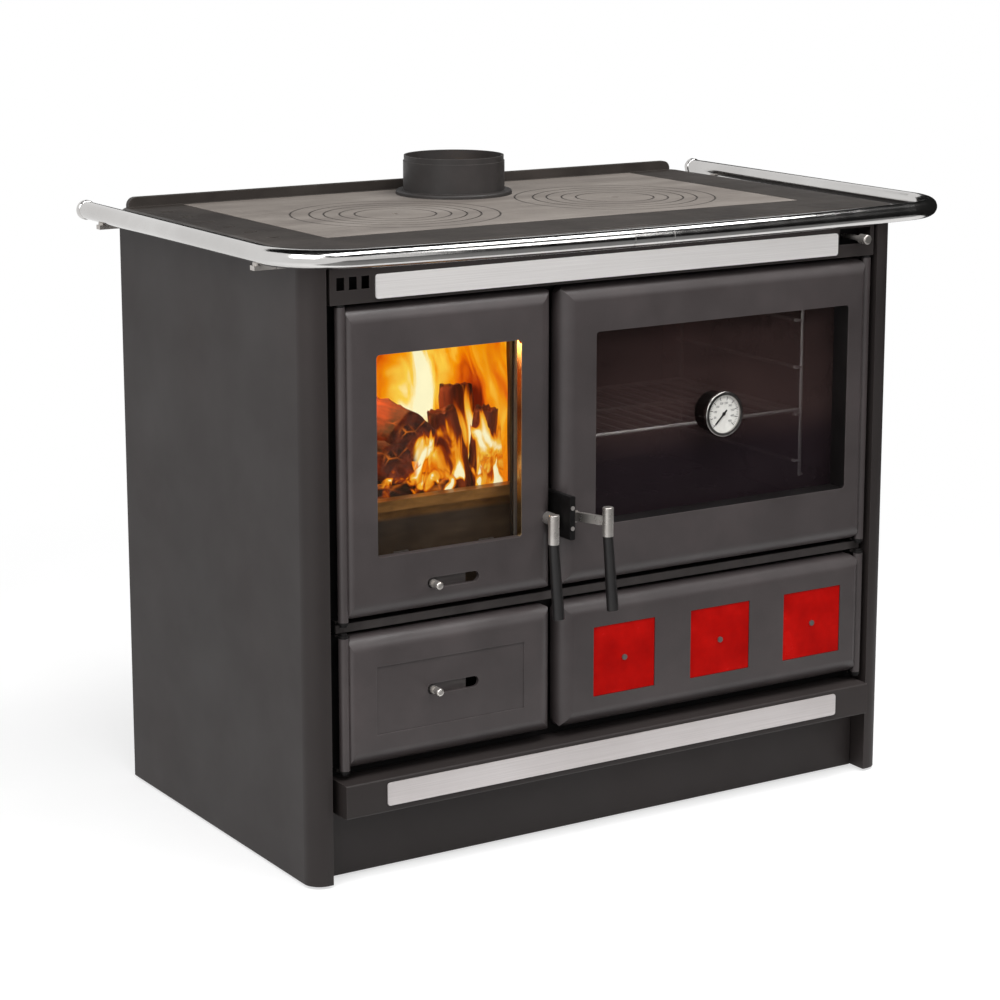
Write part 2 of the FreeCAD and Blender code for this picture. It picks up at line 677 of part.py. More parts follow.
# ---- doors ----
def door_blank(x0, x1, z0, z1, side, less=0.0):
    """Rounded slab of a door: bullnose along the top, the bottom and the free edge.

    side is 1 where the hinge is on the left; less is taken off every radius of the cavity,
    whose hinge edge stays sharp.
    """
    hinge_x, free_x = (x0, x1) if side > 0 else (x1, x0)
    slab = block(x0, x1, less, DOOR_DEPTH, z0, z1)
    r = DOOR_BULLNOSE - less
    across = slab.makeFillet(r, [e for e in edges_along(slab, 0) if in_plane(e, 1, less)])
    down = slab.makeFillet(r, [e for e in edges_at(slab, 1, less) if in_plane(e, 0, free_x)])
    if not less:
        hinge = [e for e in edges_at(down, 1, 0) if in_plane(e, 0, hinge_x)]
        down = down.makeFillet(HINGE_EDGE, hinge)
    body = rounded(slab, 1, DOOR_CORNER - less)
    return body.common(across).common(down)


def door_shell(x0, x1, z0, z1, opening, side):
    """Cast door: bullnosed face, skirt, and a rib that carries the seal round its opening."""
    w = DOOR_WALL
    blank = door_blank(x0, x1, z0, z1, side)
    cavity = door_blank(x0 + w, x1 - w, z0 + w, z1 - w, side, w)
    shell = blank.cut(cavity)
    seal_x, seal_z = seal_span(opening)
    rib_x = (max(x0 + w / 2, seal_x[0] - SHEET), min(x1 - w / 2, seal_x[1] + SHEET))
    rib_z = (max(z0 + w / 2, seal_z[0] - SHEET), min(z1 - w / 2, seal_z[1] + SHEET))
    inner = (grown(opening[0], GASKET_LAP - SHEET), grown(opening[1], GASKET_LAP - SHEET))
    rib = block(rib_x[0], rib_x[1], w - 1, DOOR_DEPTH, rib_z[0], rib_z[1])
    rib = rib.cut(block(inner[0][0], inner[0][1], w - 1, DOOR_DEPTH, inner[1][0], inner[1][1]))
    groove = seal_ring(opening, DOOR_DEPTH - GASKET_SINK, DOOR_DEPTH)
    return shell.fuse(rib.common(blank)).cut(groove).removeSplitter()


def seal_span(opening):
    x, z = opening
    return grown(x, GASKET_LAP + GASKET_WIDTH), grown(z, GASKET_LAP + GASKET_WIDTH)


def seal_ring(opening, y0, y1):
    x, z = seal_span(opening)
    return ring_block(x, y0, y1, z, GASKET_WIDTH)


def gasket(opening):
    return seal_ring(opening, DOOR_DEPTH - GASKET_SINK, FRAME_Y - SOFT_GAP)


def barrel(x, z0, z1, side):
    """Hinge barrel down the edge of a door; side is 1 where the panel lies to its right."""
    tube = rod_z(x, HINGE_DEPTH, z0, z1, HINGE_BARREL)
    web_end = x + side * (HINGE_TO_PANEL + DOOR_WALL / 2)
    half = HINGE_BARREL - SHEET
    web = block(min(x, web_end), max(x, web_end), HINGE_DEPTH - half + SHEET,
                HINGE_DEPTH + half, z0 + DOOR_CORNER, z1 - DOOR_CORNER)
    return tube.fuse(web)


def hung(shell, x, z0, z1, side):
    door = shell.fuse(barrel(x, z0, z1, side)).removeSplitter()
    bore = PIN_RADIUS + PIN_FIT
    deep = PIN_DEPTH + SLIDE_GAP
    door = door.cut(rod_z(x, HINGE_DEPTH, z0, z0 + deep, bore))
    return door.cut(rod_z(x, HINGE_DEPTH, z1 - deep, z1, bore))


def with_window(shell, window, depth):
    """Collar round the window, bosses for the glass clips, and the window itself."""
    z = (WINDOW_Z0, WINDOW_Z1)
    collar = ring_block(grown(window, COLLAR_WALL), DOOR_WALL, depth, grown(z, COLLAR_WALL),
                        COLLAR_WALL)
    parts = [shell, collar]
    for x, zc in clip_places(window):
        parts.append(rod_y(x, DOOR_WALL - SHEET, depth + GLASS_THICK, zc, CLIP_BOSS))
    door = fused(parts)
    hole = soft_block(window[0], window[1], 0, depth, z[0], z[1], WINDOW_CORNER, 1)
    return door.cut(hole)


def clip_places(window):
    return [(x, z) for x in (window[0] + CLIP_INSET, window[1] - CLIP_INSET)
            for z in (WINDOW_Z0 - CLIP_BOSS_OFFSET, WINDOW_Z1 + CLIP_BOSS_OFFSET)]


def glass_pane(window, depth):
    z = grown((WINDOW_Z0, WINDOW_Z1), GLASS_LAP)
    x = grown(window, GLASS_LAP)
    return block(x[0], x[1], depth, depth + GLASS_THICK, z[0], z[1])


def glass_clips(window, depth):
    """Clamps that reach from their bosses over the edge of the pane, with a screw head each."""
    clips = []
    y = depth + GLASS_THICK
    for x, z in clip_places(window):
        inward = 1 if z < WINDOW_Z0 else -1
        tip = z + inward * (CLIP_BOSS_OFFSET - GLASS_LAP / 2 + CLIP_BOSS / 2)
        foot = z - inward * CLIP_BOSS
        clip = block(x - CLIP_WIDTH / 2, x + CLIP_WIDTH / 2, y, y + CLIP_THICK,
                     min(tip, foot), max(tip, foot))
        head = rod_y(x, y + CLIP_THICK, y + CLIP_THICK + CLIP_THICK / 2, z, CLIP_BOSS - 1)
        clips.append(fused([clip, head]))
    return Part.makeCompound(clips)


def slot_left_x():
    return FIRE_X0 + SLOT_LEFT


def with_air_slot(shell, z, face):
    """Round-ended slot, and two rails behind the face for the slide."""
    x0 = slot_left_x()
    x1 = x0 + SLOT_LENGTH
    r = SLOT_HEIGHT / 2
    parts = [shell]
    for side in (-1, 1):
        inner = z + side * (AIR_PLATE_HEIGHT / 2 + SLIDE_GAP)
        outer = inner + side * AIR_GUIDE
        parts.append(block(x0 - AIR_GUIDE, x1 + AIR_GUIDE, DOOR_WALL,
                           DOOR_WALL + AIR_PLATE_THICK + SLIDE_GAP,
                           min(inner, outer), max(inner, outer)))
    door = fused(parts)
    slot = soft_block(x0, x1, face, DOOR_WALL, z - r, z + r, r - 0.01, 1)
    return door.cut(slot)


def air_knob_x():
    return slot_left_x() + SLOT_HEIGHT / 2 + SLIDE_GAP


def air_slide(z):
    """Shutter plate behind the door's face, drawn at the closed end of its travel."""
    x = air_knob_x()
    y = DOOR_WALL + SLIDE_GAP / 2
    plate = block(x - AIR_PLATE_LENGTH / 2, x + AIR_PLATE_LENGTH / 2, y, y + AIR_PLATE_THICK,
                  z - AIR_PLATE_HEIGHT / 2, z + AIR_PLATE_HEIGHT / 2)
    return plate.cut(rod_y(x, y, y + AIR_PLATE_THICK, z, AIR_STEM_RADIUS))


def air_knob(z):
    """Turned knob with a collar and a stem that ends in the shutter plate."""
    x = air_knob_x()
    back = DOOR_WALL + SLIDE_GAP / 2 + AIR_PLATE_THICK
    stem = rod_y(x, -AIR_STEM_STANDOFF, back, z, AIR_STEM_RADIUS)
    head = rod_y(x, -AIR_STEM_STANDOFF - AIR_KNOB_LENGTH, -AIR_STEM_STANDOFF, z, AIR_KNOB_RADIUS)
    front = edges_at(head, 1, -AIR_STEM_STANDOFF - AIR_KNOB_LENGTH)
    head = head.makeFillet(AIR_KNOB_RADIUS * 0.6, front)
    collar = rod_y(x, -4 * SLIDE_GAP - CLIP_THICK, -4 * SLIDE_GAP, z,
                   AIR_KNOB_RADIUS)
    return fused([stem, head, collar])


def spindle_hole(door, x):
    """Boss that is flush with the door's face, where the hub turns on it."""
    boss = rod_y(x, 0, DOOR_DEPTH, HANDLE_Z, HUB_RADIUS)
    door = door.fuse(boss).removeSplitter()
    return door.cut(rod_y(x, 0, DOOR_DEPTH, HANDLE_Z, SPINDLE_RADIUS + PIN_FIT))


def fire_door():
    door = door_shell(FIRE_X0, FIRE_X1, UPPER_Z, UPPER_TOP, FIRE_OPEN, 1)
    door = with_window(door, FIRE_WINDOW, FIRE_GLASS_DEPTH)
    door = with_air_slot(door, FIRE_SLOT_Z, 0)
    door = hung(door, LEFT_HINGE_X, UPPER_Z, UPPER_TOP, 1)
    return spindle_hole(door, FIRE_SPINDLE_X)


def ash_door():
    door = door_shell(FIRE_X0, FIRE_X1, LOWER_Z, LOWER_TOP, ASH_OPEN, 1)
    recess = block(FIRE_X0 + INSET_LEFT, FIRE_X1 - INSET_RIGHT, 0, INSET_DEPTH,
                   LOWER_Z + INSET_BOTTOM, LOWER_TOP - INSET_TOP)
    door = door.cut(recess)
    door = with_air_slot(door, ASH_SLOT_Z, INSET_DEPTH)
    return hung(door, LEFT_HINGE_X, LOWER_Z, LOWER_TOP, 1)


def oven_door():
    door = door_shell(OVEN_X0, OVEN_X1, UPPER_Z, UPPER_TOP, OVEN_OPEN, -1)
    door = with_window(door, OVEN_WINDOW, OVEN_GLASS_DEPTH)
    door = hung(door, RIGHT_HINGE_X, UPPER_Z, UPPER_TOP, -1)
    return spindle_hole(door, OVEN_SPINDLE_X)


def oven_glass():
    pane = glass_pane(OVEN_WINDOW, OVEN_GLASS_DEPTH)
    hole = rod_y(GAUGE_X, OVEN_GLASS_DEPTH, OVEN_GLASS_DEPTH + GLASS_THICK, GAUGE_Z,
                 GAUGE_STEM_RADIUS + DAMPER_HOLE_FIT)
    return pane.cut(hole)


def tile_places():
    first = OVEN_X0 + TILE_LEFT_MARGIN
    pitch = (OVEN_X1 - TILE_RIGHT_MARGIN - first) / (TILE_COUNT - 1)
    z = LOWER_Z + TILE_MID_RISE
    return [(first + i * pitch, z) for i in range(TILE_COUNT)]


def tile_block(x, z, more, y0, y1):
    """A tile's outline round its middle, made larger by more across and up."""
    wide, high = (TILE_WIDTH + more) / 2, (TILE_HEIGHT + more) / 2
    return block(x - wide, x + wide, y0, y1, z - high, z + high)


def tile_door():
    door = door_shell(OVEN_X0, OVEN_X1, LOWER_Z, LOWER_TOP, STORE_OPEN, -1)
    back = TILE_RECESS + TILE_THICK
    parts = [door]
    for x, z in tile_places():
        parts.append(tile_block(x, z, 2 * DOOR_WALL, DOOR_WALL - SHEET,
                                back + TILE_BACKING))
    door = fused(parts)
    for x, z in tile_places():
        door = door.cut(tile_block(x, z, TILE_FIT, 0, back))
        door = door.cut(rod_y(x, back, back + TILE_BACKING, z, TILE_SCREW_RADIUS))
    return hung(door, RIGHT_HINGE_X, LOWER_Z, LOWER_TOP, -1)


def red_tiles():
    tiles = []
    for x, z in tile_places():
        tile = tile_block(x, z, 0, TILE_RECESS, TILE_RECESS + TILE_THICK)
        hole = rod_y(x, TILE_RECESS, TILE_RECESS + TILE_THICK, z, TILE_SCREW_RADIUS)
        tiles.append(tile.cut(hole))
    return Part.makeCompound(tiles)


def tile_screws():
    screws = []
    for x, z in tile_places():
        shank = rod_y(x, TILE_RECESS, TILE_RECESS + TILE_THICK + TILE_BACKING, z,
                      TILE_SCREW_RADIUS)
        head = rod_y(x, TILE_RECESS - TILE_SCREW_PROUD, TILE_RECESS, z, TILE_SCREW_HEAD)
        screws.append(fused([shank, head]))
    return Part.makeCompound(screws)


# ---- handles, latch and thermometer ----
def handle_arm(spindle_x, reach):
    """Spindle, hub and flat arm out to the sleeve; reach is positive to the right."""
    z = HANDLE_Z
    grip_x = spindle_x + reach
    back = FRAME_Y - SLIDE_GAP
    spindle = rod_y(spindle_x, -HUB_LENGTH, back, z, SPINDLE_RADIUS)
    hub = rod_y(spindle_x, -HUB_LENGTH, -SLIDE_GAP, z, HUB_RADIUS)
    start = V(spindle_x, -HUB_LENGTH / 2, z)
    end = V(grip_x, -HANDLE_STANDOFF, z)
    run = end - start
    bar = Part.makeBox(run.Length, ARM_THICK, ARM_WIDTH, V(0, -ARM_THICK / 2, -ARM_WIDTH / 2))
    bar.rotate(V(0, 0, 0), V(0, 0, 1), math.degrees(math.atan2(run.y, run.x)))
    bar.translate(start)
    half = SLEEVE_LENGTH / 2
    sleeve = rod_z(grip_x, -HANDLE_STANDOFF, z - half, z + half, SLEEVE_RADIUS)
    sleeve = sleeve.makeFillet(1.2, edges_at(sleeve, 2, z + half))
    return fused([spindle, hub, bar, sleeve])


def latch_tongue(spindle_x):
    """Tongue on the inner end of the spindle; it hangs down, clear of its keeper."""
    y1 = FRAME_Y - SLIDE_GAP - TONGUE_GAP
    half = TONGUE_WIDTH / 2
    tongue = block(spindle_x - half, spindle_x + half, y1 - TONGUE_THICK, y1,
                   HANDLE_Z - TONGUE_LENGTH, HANDLE_Z)
    tongue = tongue.fuse(rod_y(spindle_x, y1 - TONGUE_THICK, y1, HANDLE_Z, HUB_RADIUS))
    hole = rod_y(spindle_x, y1 - TONGUE_THICK, y1, HANDLE_Z, SPINDLE_RADIUS)
    return tongue.cut(hole).removeSplitter()


def handle(spindle_x, reach):
    return Part.makeCompound([handle_arm(spindle_x, reach), latch_tongue(spindle_x)])


def handle_grip(spindle_x, reach):
    """Tapered grip that hangs from the sleeve, leans out and ends above the lower doors."""
    x = spindle_x + reach
    top = V(x, -HANDLE_STANDOFF, HANDLE_Z - SLEEVE_LENGTH / 2)
    tip = V(x, top.y - GRIP_LEAN, LOWER_TOP + GRIP_TO_DOORS)
    run = tip - top
    grip = Part.makeCone(GRIP_RADIUS, GRIP_END_RADIUS, run.Length, top, run)
    grip = grip.makeFillet(GRIP_ROUND, [e for e in grip.Edges
                                        if (e.CenterOfMass - tip).Length < GRIP_RADIUS])
    r = 2 * GRIP_RADIUS
    lid = block(x - r, x + r, top.y - r, top.y + r, top.z, top.z + r)
    return grip.cut(lid)


def latch_keeper():
    """Block between the doors, notched behind for both latch tongues."""
    x = (FIRE_X1 + OVEN_X0) / 2
    z = HANDLE_Z + KEEPER_RISE
    wide = POST_GAP / 2 - KEEPER_GAP
    half = KEEPER_HEIGHT / 2
    head = soft_block(x - wide, x + wide, -KEEPER_PROUD, DOOR_DEPTH, z - half, z + half, 2.0, 1)
    neck = block(x - KEEPER_NECK / 2, x + KEEPER_NECK / 2, DOOR_DEPTH, FRAME_Y,
                 z - half + KEEPER_NECK, z + half - KEEPER_NECK)
    parts = [head, neck]
    for side in (-1, 1):
        parts.append(rod_y(x, -KEEPER_PROUD - 1, -KEEPER_PROUD, z + side * KEEPER_SCREW_SPREAD,
                           KEEPER_SCREW))
    return fused(parts)


def gauge_case():
    """Thermometer case: drum on the glass, bezel in front and stem through the pane."""
    y1 = OVEN_GLASS_DEPTH
    drum = rod_y(GAUGE_X, 0, y1, GAUGE_Z, GAUGE_CASE_RADIUS)
    bezel = rod_y(GAUGE_X, 0, GAUGE_BEZEL, GAUGE_Z, GAUGE_RADIUS)
    bezel = bezel.makeFillet(1.5, edges_at(bezel, 1, 0))
    stem = rod_y(GAUGE_X, y1, y1 + GLASS_THICK + GAUGE_STEM_LENGTH, GAUGE_Z, GAUGE_STEM_RADIUS)
    case = fused([drum, bezel, stem])
    face = GAUGE_RADIUS - GAUGE_BEZEL_WIDTH
    case = case.cut(rod_y(GAUGE_X, 0, GAUGE_DIAL_DEPTH + GAUGE_DIAL_THICK, GAUGE_Z, face))
    pivot = NEEDLE_PIVOT + PIN_FIT
    return case.cut(rod_y(GAUGE_X, 0, 3 * GAUGE_DIAL_DEPTH, GAUGE_Z, pivot))


def gauge_dial():
    y = GAUGE_DIAL_DEPTH
    face = GAUGE_RADIUS - GAUGE_BEZEL_WIDTH
    dial = rod_y(GAUGE_X, y, y + GAUGE_DIAL_THICK, GAUGE_Z, face)
    return dial.cut(rod_y(GAUGE_X, y, y + GAUGE_DIAL_THICK, GAUGE_Z, NEEDLE_PIVOT + PIN_FIT))


def gauge_needle():
    y0 = GAUGE_DIAL_DEPTH - NEEDLE_THICK - SLIDE_GAP
    half = NEEDLE_WIDTH / 2
    blade = block(-half, half, y0, y0 + NEEDLE_THICK, -NEEDLE_TAIL, NEEDLE_LENGTH)
    hub = rod_y(0, y0, y0 + NEEDLE_THICK, 0, NEEDLE_HUB)
    shaft = rod_y(0, y0, 2 * GAUGE_DIAL_DEPTH, 0, NEEDLE_PIVOT)
    needle = fused([blade, hub, shaft])
    needle.rotate(V(0, 0, 0), V(0, 1, 0), NEEDLE_ANGLE)
    needle.translate(V(GAUGE_X, 0, GAUGE_Z))
    return needle


# ---- hob ----
def top_frame():
    x = BODY_WIDTH / 2 + FRAME_OVERHANG
    y1 = BODY_DEPTH + FRAME_REAR
    frame = soft_block(-x, x, -FRAME_FRONT, y1, PANEL_TOP, HOB_Z, FRAME_CORNER, 2)
    frame = frame.makeFillet(FRAME_EDGE, edges_at(frame, 2, HOB_Z))
    lip = block(LEFT + LIP_MARGIN, RIGHT - LIP_MARGIN, y1 - FRAME_EDGE - LIP_THICK,
                y1 - FRAME_EDGE, HOB_Z - FRAME_EDGE, HOB_Z + LIP_HEIGHT)
    ends = [e for e in edges_along(lip, 1) if e.Vertexes[0].Z > HOB_Z]
    lip = lip.makeFillet(LIP_ROUND, ends)
    frame = frame.fuse(lip).removeSplitter()
    edge = PLATE_X + PLATE_FIT
    frame = frame.cut(block(-edge, edge, PLATE_FRONT - PLATE_FIT, PLATE_Y1 + PLATE_FIT,
                            PLATE_Z0, HOB_Z + LIP_HEIGHT))
    well = PLATE_X - PLATE_LEDGE
    frame = frame.cut(block(-well, well, PLATE_FRONT + PLATE_LEDGE, PLATE_Y1 - PLATE_LEDGE,
                            PANEL_TOP, HOB_Z))
    for i in range(FRAME_VENT_COUNT):
        y = FRAME_VENT_FIRST + i * FRAME_VENT_PITCH
        xv = LEFT + FRAME_VENT_INSET
        vent = soft_block(xv - FRAME_VENT_LENGTH / 2, xv + FRAME_VENT_LENGTH / 2,
                          y - FRAME_VENT_WIDTH / 2, y + FRAME_VENT_WIDTH / 2,
                          PANEL_TOP, HOB_Z, FRAME_VENT_WIDTH / 2 - 0.01, 2)
        frame = frame.cut(vent)
    return frame


def hob_plate():
    plate = block(-PLATE_X, PLATE_X, PLATE_FRONT, PLATE_Y1, PLATE_Z0, HOB_Z)
    step_z = HOB_Z - RING_HALF
    for side in (-1, 1):
        x = side * RING_SPREAD
        plate = plate.cut(rod_z(x, RING_Y, step_z - SLIDE_GAP, HOB_Z, RING_RADIUS + RING_FIT))
        plate = plate.cut(rod_z(x, RING_Y, PLATE_Z0, step_z, RING_RADIUS - RING_STEP))
    return plate.cut(rod_z(FLUE_X, FLUE_Y, PLATE_Z0, HOB_Z, FLUE_RADIUS - FLUE_WALL))


def grooved(shape, x, radii):
    for r in radii:
        cut = rod_z(x, RING_Y, HOB_Z - GROOVE_DEPTH, HOB_Z, r + GROOVE_WIDTH / 2)
        cut = cut.cut(rod_z(x, RING_Y, HOB_Z - GROOVE_DEPTH, HOB_Z, r - GROOVE_WIDTH / 2))
        shape = shape.cut(cut)
    return shape


def hob_ring(side):
    """Ring that seats on the plate's step and carries the disc on a step of its own."""
    x = side * RING_SPREAD
    step_z = HOB_Z - RING_HALF
    lower = RING_RADIUS - RING_STEP - RING_FIT
    ring = rod_z(x, RING_Y, step_z, HOB_Z, RING_RADIUS)
    ring = ring.fuse(rod_z(x, RING_Y, PLATE_Z0, step_z, lower)).removeSplitter()
    ring = ring.cut(rod_z(x, RING_Y, step_z - SLIDE_GAP, HOB_Z, RING_BORE + RING_FIT))
    ring = ring.cut(rod_z(x, RING_Y, PLATE_Z0, step_z, RING_BORE - RING_STEP))
    return grooved(ring, x, RING_GROOVES)


def hob_disc(side):
    x = side * RING_SPREAD
    step_z = HOB_Z - RING_HALF
    disc = rod_z(x, RING_Y, step_z, HOB_Z, RING_BORE)
    lower = rod_z(x, RING_Y, PLATE_Z0, step_z, RING_BORE - RING_STEP - RING_FIT)
    disc = disc.fuse(lower).removeSplitter()
    disc = disc.cut(rod_z(x, RING_Y, HOB_Z - RING_HALF - 2, HOB_Z, DISC_HOLE))
    return grooved(disc, x, DISC_GROOVES)


def flue_spigot():
    z1 = HOB_Z + FLUE_HEIGHT
    body = rod_z(FLUE_X, FLUE_Y, HOB_Z, z1 - FLUE_STEP_HEIGHT, FLUE_RADIUS)
    rim = rod_z(FLUE_X, FLUE_Y, HOB_Z, z1, FLUE_RADIUS - FLUE_STEP)
    flange = rod_z(FLUE_X, FLUE_Y, HOB_Z, HOB_Z + FLUE_FLANGE_THICK, FLUE_FLANGE)
    flange = flange.makeFillet(3.0, edges_at(flange, 2, HOB_Z + FLUE_FLANGE_THICK))
    spigot = fused([body, rim, flange])
    return spigot.cut(rod_z(FLUE_X, FLUE_Y, HOB_Z, z1, FLUE_RADIUS - FLUE_WALL))


# ---- hand rail ----
def rail_path():
    """Centre line: straight sides, tangent corners, and a front that bows gently outwards."""
    half = RAIL_X - RAIL_CORNER
    bow = (half * half + RAIL_BOW * RAIL_BOW) / (2 * RAIL_BOW)
    bow_y = -RAIL_FRONT + bow
    corner_y = bow_y - math.sqrt((bow - RAIL_CORNER) ** 2 - half ** 2)
    away = V(half, corner_y - bow_y, 0)
    away.normalize()
    touch = V(0, bow_y, 0) + away * bow
    angle = math.atan2(away.y, away.x) / 2
    knee = V(half, corner_y, 0) + V(math.cos(angle), math.sin(angle), 0) * RAIL_CORNER
    lift = V(0, 0, RAIL_Z)
    side = V(RAIL_X, corner_y, 0)
    back = V(RAIL_X, RAIL_END_Y, 0)

    def left(p):
        return V(-p.x, p.y, p.z)

    pieces = [
        Part.LineSegment(left(back) + lift, left(side) + lift),
        Part.Arc(left(side) + lift, left(knee) + lift, left(touch) + lift),
        Part.Arc(left(touch) + lift, V(0, -RAIL_FRONT, RAIL_Z), touch + lift),
        Part.Arc(touch + lift, knee + lift, side + lift),
        Part.LineSegment(side + lift, back + lift),
    ]
    return Part.Wire([piece.toShape() for piece in pieces])


def rail_pipe(r):
    start = V(-RAIL_X, RAIL_END_Y, RAIL_Z)
    section = Part.Wire(Part.makeCircle(r, start, V(0, -1, 0)))
    return rail_path().makePipeShell([section], True, False)


def hand_rail():
    rail = rail_pipe(RAIL_RADIUS).cut(rail_pipe(RAIL_RADIUS - RAIL_WALL))
    for x in RAIL_JOINTS:
        y = rail_front_at(x)
        band = rod_x(x, x + RAIL_SEAM, y, RAIL_Z, RAIL_RADIUS + RAIL_WALL)
        band = band.cut(rod_x(x, x + RAIL_SEAM, y, RAIL_Z, RAIL_RADIUS - RAIL_SEAM_DEPTH))
        rail = rail.cut(band)
    return rail


def rail_end_caps():
    caps = []
    for side in (-1, 1):
        x = side * RAIL_X
        y = RAIL_END_Y
        y1 = y + RAIL_CAP_LENGTH
        cap = rod_y(x, y, y1, RAIL_Z, RAIL_CAP_RADIUS)
        cap = cap.makeFillet(3.0, edges_at(cap, 1, y1) + edges_at(cap, 1, y))
        knob = rod_y(x, y1, y1 + RAIL_CAP_KNOB_LENGTH, RAIL_Z, RAIL_CAP_KNOB)
        knob = knob.makeFillet(3.0, edges_at(knob, 1, y1 + RAIL_CAP_KNOB_LENGTH))
        plug = rod_y(x, y - RAIL_CAP_RADIUS, y, RAIL_Z, RAIL_RADIUS - RAIL_WALL - RAIL_CAP_FIT)
        caps.append(fused([cap, knob, plug]))
    return Part.makeCompound(caps)


def rail_brackets():
    """Flat bars under the rail, each with a boss that is shaped to the tube."""
    tube = rail_pipe(RAIL_RADIUS)
    z1 = RAIL_Z - RAIL_RADIUS - BRACKET_DROP
    z0 = z1 - BRACKET_THICK
    half = BRACKET_WIDTH / 2
    brackets = []
    for y in (FRONT_BRACKET, BODY_DEPTH - BACK_BRACKET):
        for side in (-1, 1):
            inner = side * BODY_WIDTH / 2
            outer = side * (RAIL_X + half)
            bar = block(min(inner, outer), max(inner, outer), y - half, y + half, z0, z1)
            boss = rod_z(side * RAIL_X, y, z0, RAIL_Z, BRACKET_BOSS)
            brackets.append(fused([bar, boss]).cut(tube))
    return Part.makeCompound(brackets)


def rail_front_at(x):
    half = RAIL_X - RAIL_CORNER
    bow = (half * half + RAIL_BOW * RAIL_BOW) / (2 * RAIL_BOW)
    return -RAIL_FRONT + bow - math.sqrt(bow * bow - x * x)


# ---- inner steelwork ----
def casing(x, floor):
    """Sheet casing open at the front: an upper chamber, a floor and a lower chamber."""
    s = CASING_SHEET
    shell = block(x[0], x[1], CASING_Y, CASING_END, CASING_Z0, PANEL_TOP)
    inner = (x[0] + s, x[1] - s)
    shell = shell.cut(block(inner[0], inner[1], CASING_Y, CASING_END - s, floor, PANEL_TOP))
    return shell.cut(block(inner[0], inner[1], CASING_Y, CASING_END - s, CASING_Z0, floor - s))


def smoke_gate():
    """Opening high between the two casings, where the flue gas crosses over the oven."""
    return block(FIRE_CASING[1] - 2 * CASING_SHEET, OVEN_CASING[0] + 2 * CASING_SHEET,
                 CASING_Y + SMOKE_GATE_FRONT, CASING_END - SMOKE_GATE_BACK,
                 SMOKE_GATE_Z, PANEL_TOP)


def firebox_casing():
    shell = casing(FIRE_CASING, ASH_FLOOR)
    s = CASING_SHEET
    for side, x in ((1, FIRE_CASING[0] + s), (-1, FIRE_CASING[1] - s)):
        end = x + side * HEARTH_LEDGE
        shell = shell.fuse(block(min(x, end), max(x, end), CASING_Y, CASING_END - s,
                                 HEARTH_BOTTOM - HEARTH_LEDGE_THICK, HEARTH_BOTTOM))
    return shell.cut(smoke_gate()).removeSplitter()


def oven_casing():
    """Casing round the oven, with the floor of the storage compartment below."""
    s = CASING_SHEET
    shell = casing(OVEN_CASING, OVEN_FLOOR).cut(smoke_gate())
    floor = block(OVEN_CASING[0] + s, OVEN_CASING[1] - s, CASING_Y, CASING_END - s,
                  ASH_FLOOR - s, ASH_FLOOR)
    return fused([shell, floor])


def chamber():
    """Inner faces of the firebox casing, in x."""
    return (FIRE_CASING[0] + CASING_SHEET, FIRE_CASING[1] - CASING_SHEET)


def lining_x():
    x = chamber()
    return (x[0] + LINING_GAP, x[1] - 2 * SHEET)


def lining_back_y():
    return CASING_END - CASING_SHEET - LINING_GAP


def firebox_side(side):
    """Cast lining plate with shallow upright ribs towards the fire."""
    x = lining_x()
    y1 = lining_back_y() - LINING
    base = LINING - LINING_RIB
    if side < 0:
        start = x[0]
        rib_start = x[0] + base
    else:
        start = x[1] - base
        rib_start = x[1] - LINING
    plates = [block(start, start + base, CASING_Y, y1, HEARTH_TOP, lining_top())]
    count = LINING_RIBS
    pitch = (y1 - CASING_Y) / count
    for i in range(count):
        y = CASING_Y + (i + 0.5) * pitch
        plates.append(block(rib_start, rib_start + LINING_RIB, y - pitch / 4, y + pitch / 4,
                            HEARTH_TOP, lining_top()))
    return fused(plates)


def lining_top():
    return SMOKE_GATE_Z - LINING_TOP_DROP


def firebox_back():
    x = lining_x()
    y = lining_back_y()
    return block(x[0], x[1], y - LINING, y, HEARTH_TOP, lining_top())


def grate_span():
    x = lining_x()
    mid = (x[0] + x[1]) / 2
    y = (CASING_Y + lining_back_y() - LINING) / 2
    return ((mid - GRATE_WIDTH / 2, mid + GRATE_WIDTH / 2),
            (y - GRATE_LENGTH / 2, y + GRATE_LENGTH / 2))


def hearth_plate():
    x = chamber()
    slab = block(x[0] + SLIDE_GAP, x[1] - SLIDE_GAP, CASING_Y + SLIDE_GAP,
                 CASING_END - CASING_SHEET - SLIDE_GAP, HEARTH_BOTTOM, HEARTH_TOP)
    gx, gy = grate_span()
    half = HEARTH_THICK / 2
    fit = GRATE_FIT
    slab = slab.cut(block(gx[0] - fit, gx[1] + fit, gy[0] - fit, gy[1] + fit,
                          HEARTH_TOP - half, HEARTH_TOP))
    edge = GRATE_EDGE / 2
    return slab.cut(block(gx[0] + edge, gx[1] - edge, gy[0] + edge, gy[1] - edge,
                          HEARTH_BOTTOM, HEARTH_TOP))


def fire_grate():
    gx, gy = grate_span()
    half = HEARTH_THICK / 2
    grate = block(gx[0], gx[1], gy[0], gy[1], HEARTH_TOP - half, HEARTH_TOP)
    pitch = (GRATE_LENGTH - 2 * GRATE_EDGE) / GRATE_SLOTS
    for i in range(GRATE_SLOTS):
        y = gy[0] + GRATE_EDGE + (i + 0.5) * pitch
        grate = grate.cut(block(gx[0] + GRATE_EDGE, gx[1] - GRATE_EDGE,
                                y - GRATE_SLOT_WIDTH / 2, y + GRATE_SLOT_WIDTH / 2,
                                HEARTH_TOP - half, HEARTH_TOP))
    return grate


